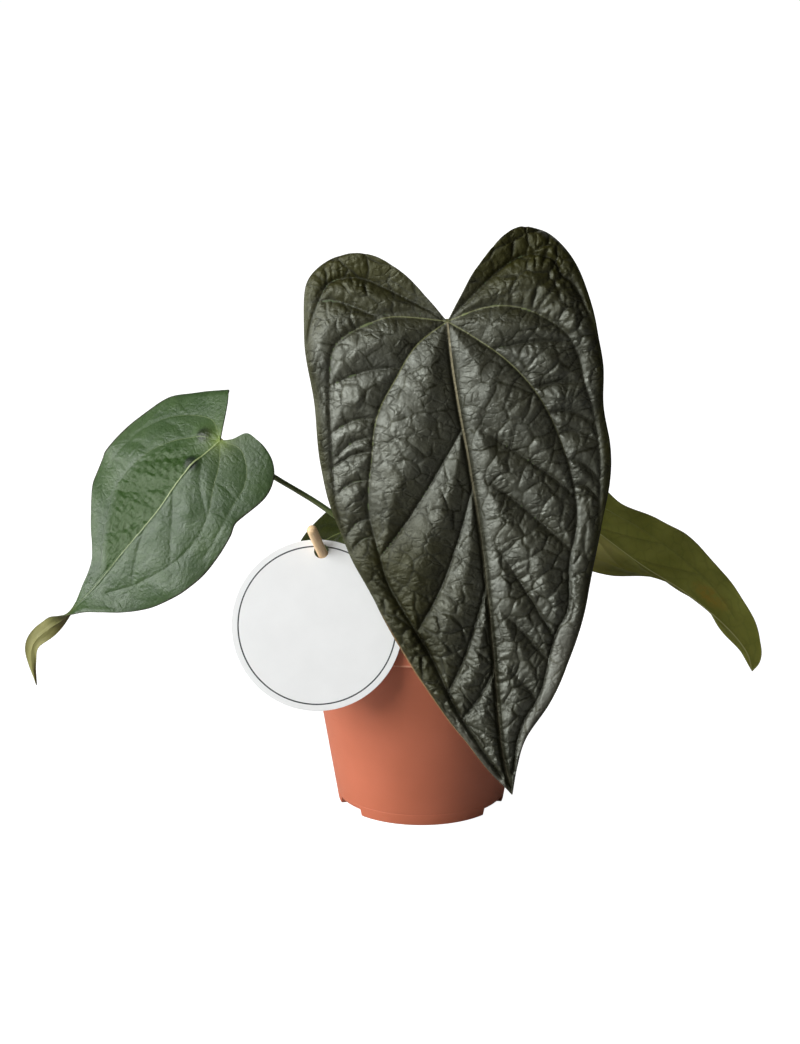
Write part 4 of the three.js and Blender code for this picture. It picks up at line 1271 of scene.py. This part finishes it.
def cylinders(name, spec):
    """A ring of upright cylinders that cut the pot's floor."""
    points, faces = [], []
    steps = 32
    for i in range(spec["count"]):
        turn = 2 * math.pi * (i + 0.5) / spec["count"]
        x, y = spec["circle"] * math.cos(turn), spec["circle"] * math.sin(turn)
        faces += grid_faces(1, steps, 2 * steps * i) + end_faces(1, steps, 2 * steps * i)
        points += [circle(spec["radius"], z, steps) + (x, y, 0) for z in (-5, 9)]
    mesh = bpy.data.meshes.new(name)
    mesh.from_pydata(((np.vstack(points) + PLACE) * MM).tolist(), [], faces)
    return link(bpy.data.objects.new(name, mesh))


# Potting mix

SOIL_TOP = 92.6
SOIL_REACH_DEPTH = 4
# Chips stay off the stem and off this spot, where the stick passes below the surface
STICK_SPOT = np.array([-28.5, 2.0])
STEM_SPOT = np.array([CROWN["x"], CROWN["y"]])


def soil_materials():
    """Fines, bark chips and perlite."""
    s = Shade("potting_mix_fines")
    flat = s.value("flat", "Vector")
    cloud = s.noise(flat, 6.0, 5.0, 0.65)
    color = s.mix(s.span(cloud, 0.35, 0.65), (0.018, 0.012, 0.008), (0.07, 0.045, 0.028))
    fines = s.finish(Base_Color=color, Roughness=0.92, Normal=s.bump(cloud, 1.2))
    s = Shade("bark_chips")
    flat = s.value("flat", "Vector")
    tone = s.value("tone")
    bark = s.mix(tone, (0.035, 0.018, 0.01), (0.2, 0.1, 0.05))
    layer = s.noise(s.stretched(flat, (1.0, 1.0, 7.0)), 3.0, 5.0, 0.65)
    color = s.mix(s.span(layer, 0.35, 0.65, 0.0, 0.75), bark, (0.05, 0.03, 0.018))
    chips = s.finish(Base_Color=color, Roughness=0.86, Normal=s.bump(layer, 0.5))
    s = Shade("perlite_grit")
    flat = s.value("flat", "Vector")
    pore = s.cracks(flat, 9.0)
    color = s.mix(s.span(pore, 0.0, 0.2), (0.42, 0.38, 0.32), (0.72, 0.69, 0.63))
    grit = s.finish(Base_Color=color, Roughness=0.85, Normal=s.bump(pore, 0.4))
    return fines, chips, grit


def unit_ball(level):
    """Points and faces of a ball of radius 1."""
    mesh = bmesh.new()
    bmesh.ops.create_icosphere(mesh, subdivisions=level, radius=1)
    points = np.array([v.co[:] for v in mesh.verts])
    faces = [[v.index for v in face.verts] for face in mesh.faces]
    mesh.free()
    return points, faces


def turn_matrix(draw, tilt):
    turn = Euler((draw.uniform(-tilt, tilt), draw.uniform(-tilt, tilt), draw.uniform(0, 6.28)))
    return np.array(turn.to_matrix())


def make_soil():
    draw = np.random.default_rng(4)
    fines, bark, grit = soil_materials()
    rings, sides = 40, 96
    reach = wall_radius(SOIL_TOP - SOIL_REACH_DEPTH) - POT["wall"] - 0.4
    discs = [circle(reach * i / rings, 0, sides) for i in range(1, rings + 1)]
    points = np.vstack([(0, 0, 0), *discs])
    spread = np.hypot(points[:, 0], points[:, 1]) / reach
    x, y = points[:, 0], points[:, 1]
    rough = 0.9 * wobble(x, y, 0, 22, 1) + 0.5 * wobble(x, y, 0, 6, 2)
    points[:, 2] = SOIL_TOP - 1.2 + 1.6 * (1 - spread**2) + rough * (1 - spread**6)
    depths = (80, 50, 20, 7)
    walls = [circle(wall_radius(depth) - POT["wall"] - 0.5, depth, sides) for depth in depths]
    points = np.vstack([points, *walls])
    rows = rings - 1 + len(depths)
    faces = [[0, 1 + j, 1 + (j + 1) % sides] for j in range(sides)]
    faces += [[a, d, c, b] for a, b, c, d in grid_faces(rows, sides, 1)]
    faces.append([1 + rows * sides + j for j in range(sides)][::-1])
    slots = [0] * len(faces)
    tone = np.zeros(len(points))
    flat = points / 10
    balls = {level: unit_ball(level) for level in (1, 2, 3)}

    def scatter(count, sizes, shape, level, slot, sink, tilt, power):
        """Lumps of a size range and shape range, sunk into the surface and clear of one another."""
        nonlocal points, faces, slots, tone, flat
        placed = []
        for _ in range(count * 6):
            if len(placed) == count:
                break
            size = draw.uniform(*sizes)
            r = (reach - 0.75 * size - 0.5) * math.sqrt(draw.uniform(0, 1))
            a = draw.uniform(0, 2 * math.pi)
            spot = np.array([r * math.cos(a), r * math.sin(a)])
            if np.hypot(*(spot - STEM_SPOT)) < 9.6 + 0.6 * size:
                continue
            if np.hypot(*(spot - STICK_SPOT)) < 3.4 + 0.7 * size:
                continue
            if any(np.hypot(*(spot - other)) < 0.62 * (size + wide) for other, wide in placed):
                continue
            placed.append((spot, size))
            ball, skin = balls[level]
            form = np.sign(ball) * np.abs(ball) ** power
            seed = int(draw.integers(1e6))
            form = form * (1 + 0.16 * wobble(*ball.T, 1.1, seed))[:, None]
            half = size * np.array([draw.uniform(*span) for span in shape])
            body = (form * half) @ turn_matrix(draw, tilt).T
            z = np.interp(r / reach, (0, 1), (SOIL_TOP + 0.4, SOIL_TOP - 1.2)) + sink * half[2]
            body = body + (*spot, z)
            faces += [[v + len(points) for v in face] for face in skin]
            slots += [slot] * len(skin)
            points = np.vstack([points, body])
            tone = np.append(tone, np.full(len(body), draw.uniform(0, 1)))
            flat = np.vstack([flat, form * half / 10 + draw.uniform(-9, 9, 3)])

    scatter(150, (4.0, 7.5), ((0.75, 1.1), (0.45, 0.75), (0.22, 0.42)), 3, 1, 0.35, 0.5, 0.72)
    scatter(170, (1.8, 3.6), ((0.7, 1.0), (0.4, 0.7), (0.25, 0.5)), 2, 1, 0.6, 0.9, 0.75)
    scatter(46, (1.6, 2.9), ((0.6, 0.8), (0.5, 0.7), (0.45, 0.65)), 2, 2, 0.9, 1.0, 0.85)
    scatter(260, (0.9, 1.7), ((0.6, 0.9), (0.4, 0.7), (0.3, 0.5)), 1, 1, 0.8, 1.0, 0.8)
    make_piece(
        "soil_mix", points, faces, "potting_mix", ["soil"], [fines, bark, grit], slots, sharp=55,
        flat=flat, tone=tone,
    )


# Stick and tag

STICK_FOOT = np.array([-24, 13.5, 64.5])
STICK_TOP = np.array([-54.2, -59.2, 162.1])
STICK_RADIUS = 2.5
TAG = {"radius": 42, "thickness": 0.8, "centre": (-51.5, -57.9, 111.6), "lean": 16.5, "ring": 38.7}
TAG_HOLE = (2.1, 36.4, 3.6)


def wood_material():
    s = Shade("stick_wood")
    flat = s.value("flat", "Vector")
    grain = s.noise(s.stretched(flat, (7.0, 7.0, 0.35)), 1.6, 5.0, 0.6)
    color = s.mix(s.span(grain, 0.3, 0.7), (0.72, 0.46, 0.23), (0.92, 0.68, 0.42))
    pore = s.span(s.noise(s.stretched(flat, (22.0, 22.0, 1.2)), 2.0, 3.0), 0.62, 0.7, 0.0, 0.5)
    color = s.mix(pore, color, (0.42, 0.23, 0.11))
    normal = s.bump(grain, 0.12, s.bump(pore, 0.05))
    return s.finish(Base_Color=color, Roughness=s.span(grain, 0.3, 0.7, 0.5, 0.65), Normal=normal)


def make_stick():
    axis = STICK_TOP - STICK_FOOT
    length = np.linalg.norm(axis)
    axis /= length
    r = STICK_RADIUS
    runs = list(np.linspace(0.4, length - r, 24))
    radii = [r] * len(runs)
    for angle in range(12, 91, 13):
        runs.append(length - r + r * math.sin(math.radians(angle)))
        radii.append(max(r * math.cos(math.radians(angle)), 0.02))
    points = STICK_FOOT + np.outer(runs, axis)
    radii = np.array(radii) * (1 + 0.012 * wobble(np.array(runs), 0, 0, 30, 6))
    radii = np.minimum(radii, r)
    rings, faces, flat = sweep(points, radii, runs, 28, 0.25)
    make_piece("stick_wood", rings, faces, "wood_stick", ["stick"], [wood_material()], sharp=60, flat=flat)


def tag_material():
    s = Shade("tag_card")
    flat = s.value("flat", "Vector")
    fibre = s.noise(flat, 24.0, 4.0, 0.6)
    cloud = s.noise(flat, 0.6, 3.0)
    color = s.mix(s.span(cloud, 0.35, 0.65), (0.91, 0.91, 0.91), (0.94, 0.94, 0.94))
    color = s.mix(s.span(fibre, 0.35, 0.65, 0.0, 0.25), color, (0.88, 0.88, 0.88))
    x, y = s.part(flat, 0), s.part(flat, 1)
    square = s.plus(s.times(x, x), s.times(y, y))
    ring = s.math("SUBTRACT", s.math("SQRT", square), TAG["ring"] / 10)
    ink = s.span(s.math("ABSOLUTE", ring), 0.03, 0.038, 0.97, 0.0)
    worn = s.times(ink, s.span(s.noise(flat, 30.0, 2.0), 0.2, 0.4, 0.9, 1.0))
    color = s.mix(worn, color, (0.012, 0.015, 0.02))
    normal = s.bump(fibre, 0.03)
    return s.finish(Base_Color=color, Roughness=s.span(fibre, 0.3, 0.7, 0.42, 0.55), Normal=normal)


def make_tag():
    """A round card with a hole, drawn flat and stood up behind its lean."""
    sides, hole_sides = 120, 40
    half, bevel = TAG["thickness"] / 2, 0.15
    hx, hy, hr = TAG_HOLE
    curve = bpy.data.curves.new("tag_outline", "CURVE")
    curve.dimensions = "2D"
    curve.fill_mode = "BOTH"
    curve.extrude = (half - bevel) * MM
    curve.bevel_depth = bevel * MM
    curve.bevel_resolution = 2
    curve.offset = -bevel * MM
    for x, y, r, count in ((0, 0, TAG["radius"], sides), (hx, hy, hr, hole_sides)):
        ring = curve.splines.new("POLY")
        ring.points.add(count - 1)
        ring.use_cyclic_u = True
        for i, point in enumerate(ring.points):
            a = 2 * math.pi * i / count
            point.co = ((x + r * math.cos(a)) * MM, (y + r * math.sin(a)) * MM, 0, 1)
    drawn = link(bpy.data.objects.new("tag_outline", curve))
    mesh = bpy.data.meshes.new_from_object(drawn.evaluated_get(bpy.context.evaluated_depsgraph_get()))
    bpy.data.objects.remove(drawn)
    local = np.array([v.co[:] for v in mesh.vertices]) / MM
    faces = [list(polygon.vertices) for polygon in mesh.polygons]
    turn = np.array(Euler((math.radians(90 - TAG["lean"]), 0, 0)).to_matrix())
    placed = local @ turn.T + TAG["centre"]
    make_piece("tag_card", placed, faces, "tag_card", ["tag"], [tag_material()], sharp=40, flat=local / 10)


# Everything together


def make_floor():
    """A plain white floor that looks evenly lit."""
    mesh = bpy.data.meshes.new("floor")
    size = 9
    corners = [(-size, -size, 0), (size, -size, 0), (size, size, 0), (-size, size, 0)]
    mesh.from_pydata(corners, [], [[0, 1, 2, 3]])
    s = Shade("studio_floor")
    grain = s.noise(s.node("TexCoord", {}, 3), 60.0, 3.0)
    color = s.mix(s.span(grain, 0.3, 0.7), (0.36, 0.36, 0.36), (0.38, 0.38, 0.38))
    seen = s.node("LightPath", {}, 0)
    floor_material = s.finish(
        Base_Color=color, Roughness=0.8, Emission_Color=(1, 1, 1), Emission_Strength=seen,
        Specular_IOR_Level=0.1,
    )
    mesh.materials.append(floor_material)
    floor = link(bpy.data.objects.new("floor", mesh))
    floor.location.z = -0.0002


make_camera()
make_studio()
make_floor()
under = blade_material("leaf_underside", UNDER_LOOK)
tip_under = blade_material("leaf_tip_underside", {**UNDER_LOOK, "tip": TIP_COLOR})
olive_under = blade_material("leaf_olive_underside", OLIVE_LOOK)
spines = {}
for node, look, below, slot in (
    ("leaf_front", FRONT_LOOK, under, "leaf_mature"),
    ("leaf_left", LEFT_LOOK, tip_under, "leaf_green"),
    ("leaf_right", LEFT_LOOK, olive_under, "leaf_olive"),
    ("leaf_back", BACK_LOOK, under, "leaf_mature"),
):
    upper = blade_material(node + "_face", look)
    spines[node] = blade(node, LEAVES[node], upper, below, slot)
make_stalks(spines)
make_crown()
make_pot()
make_soil()
make_stick()
make_tag()
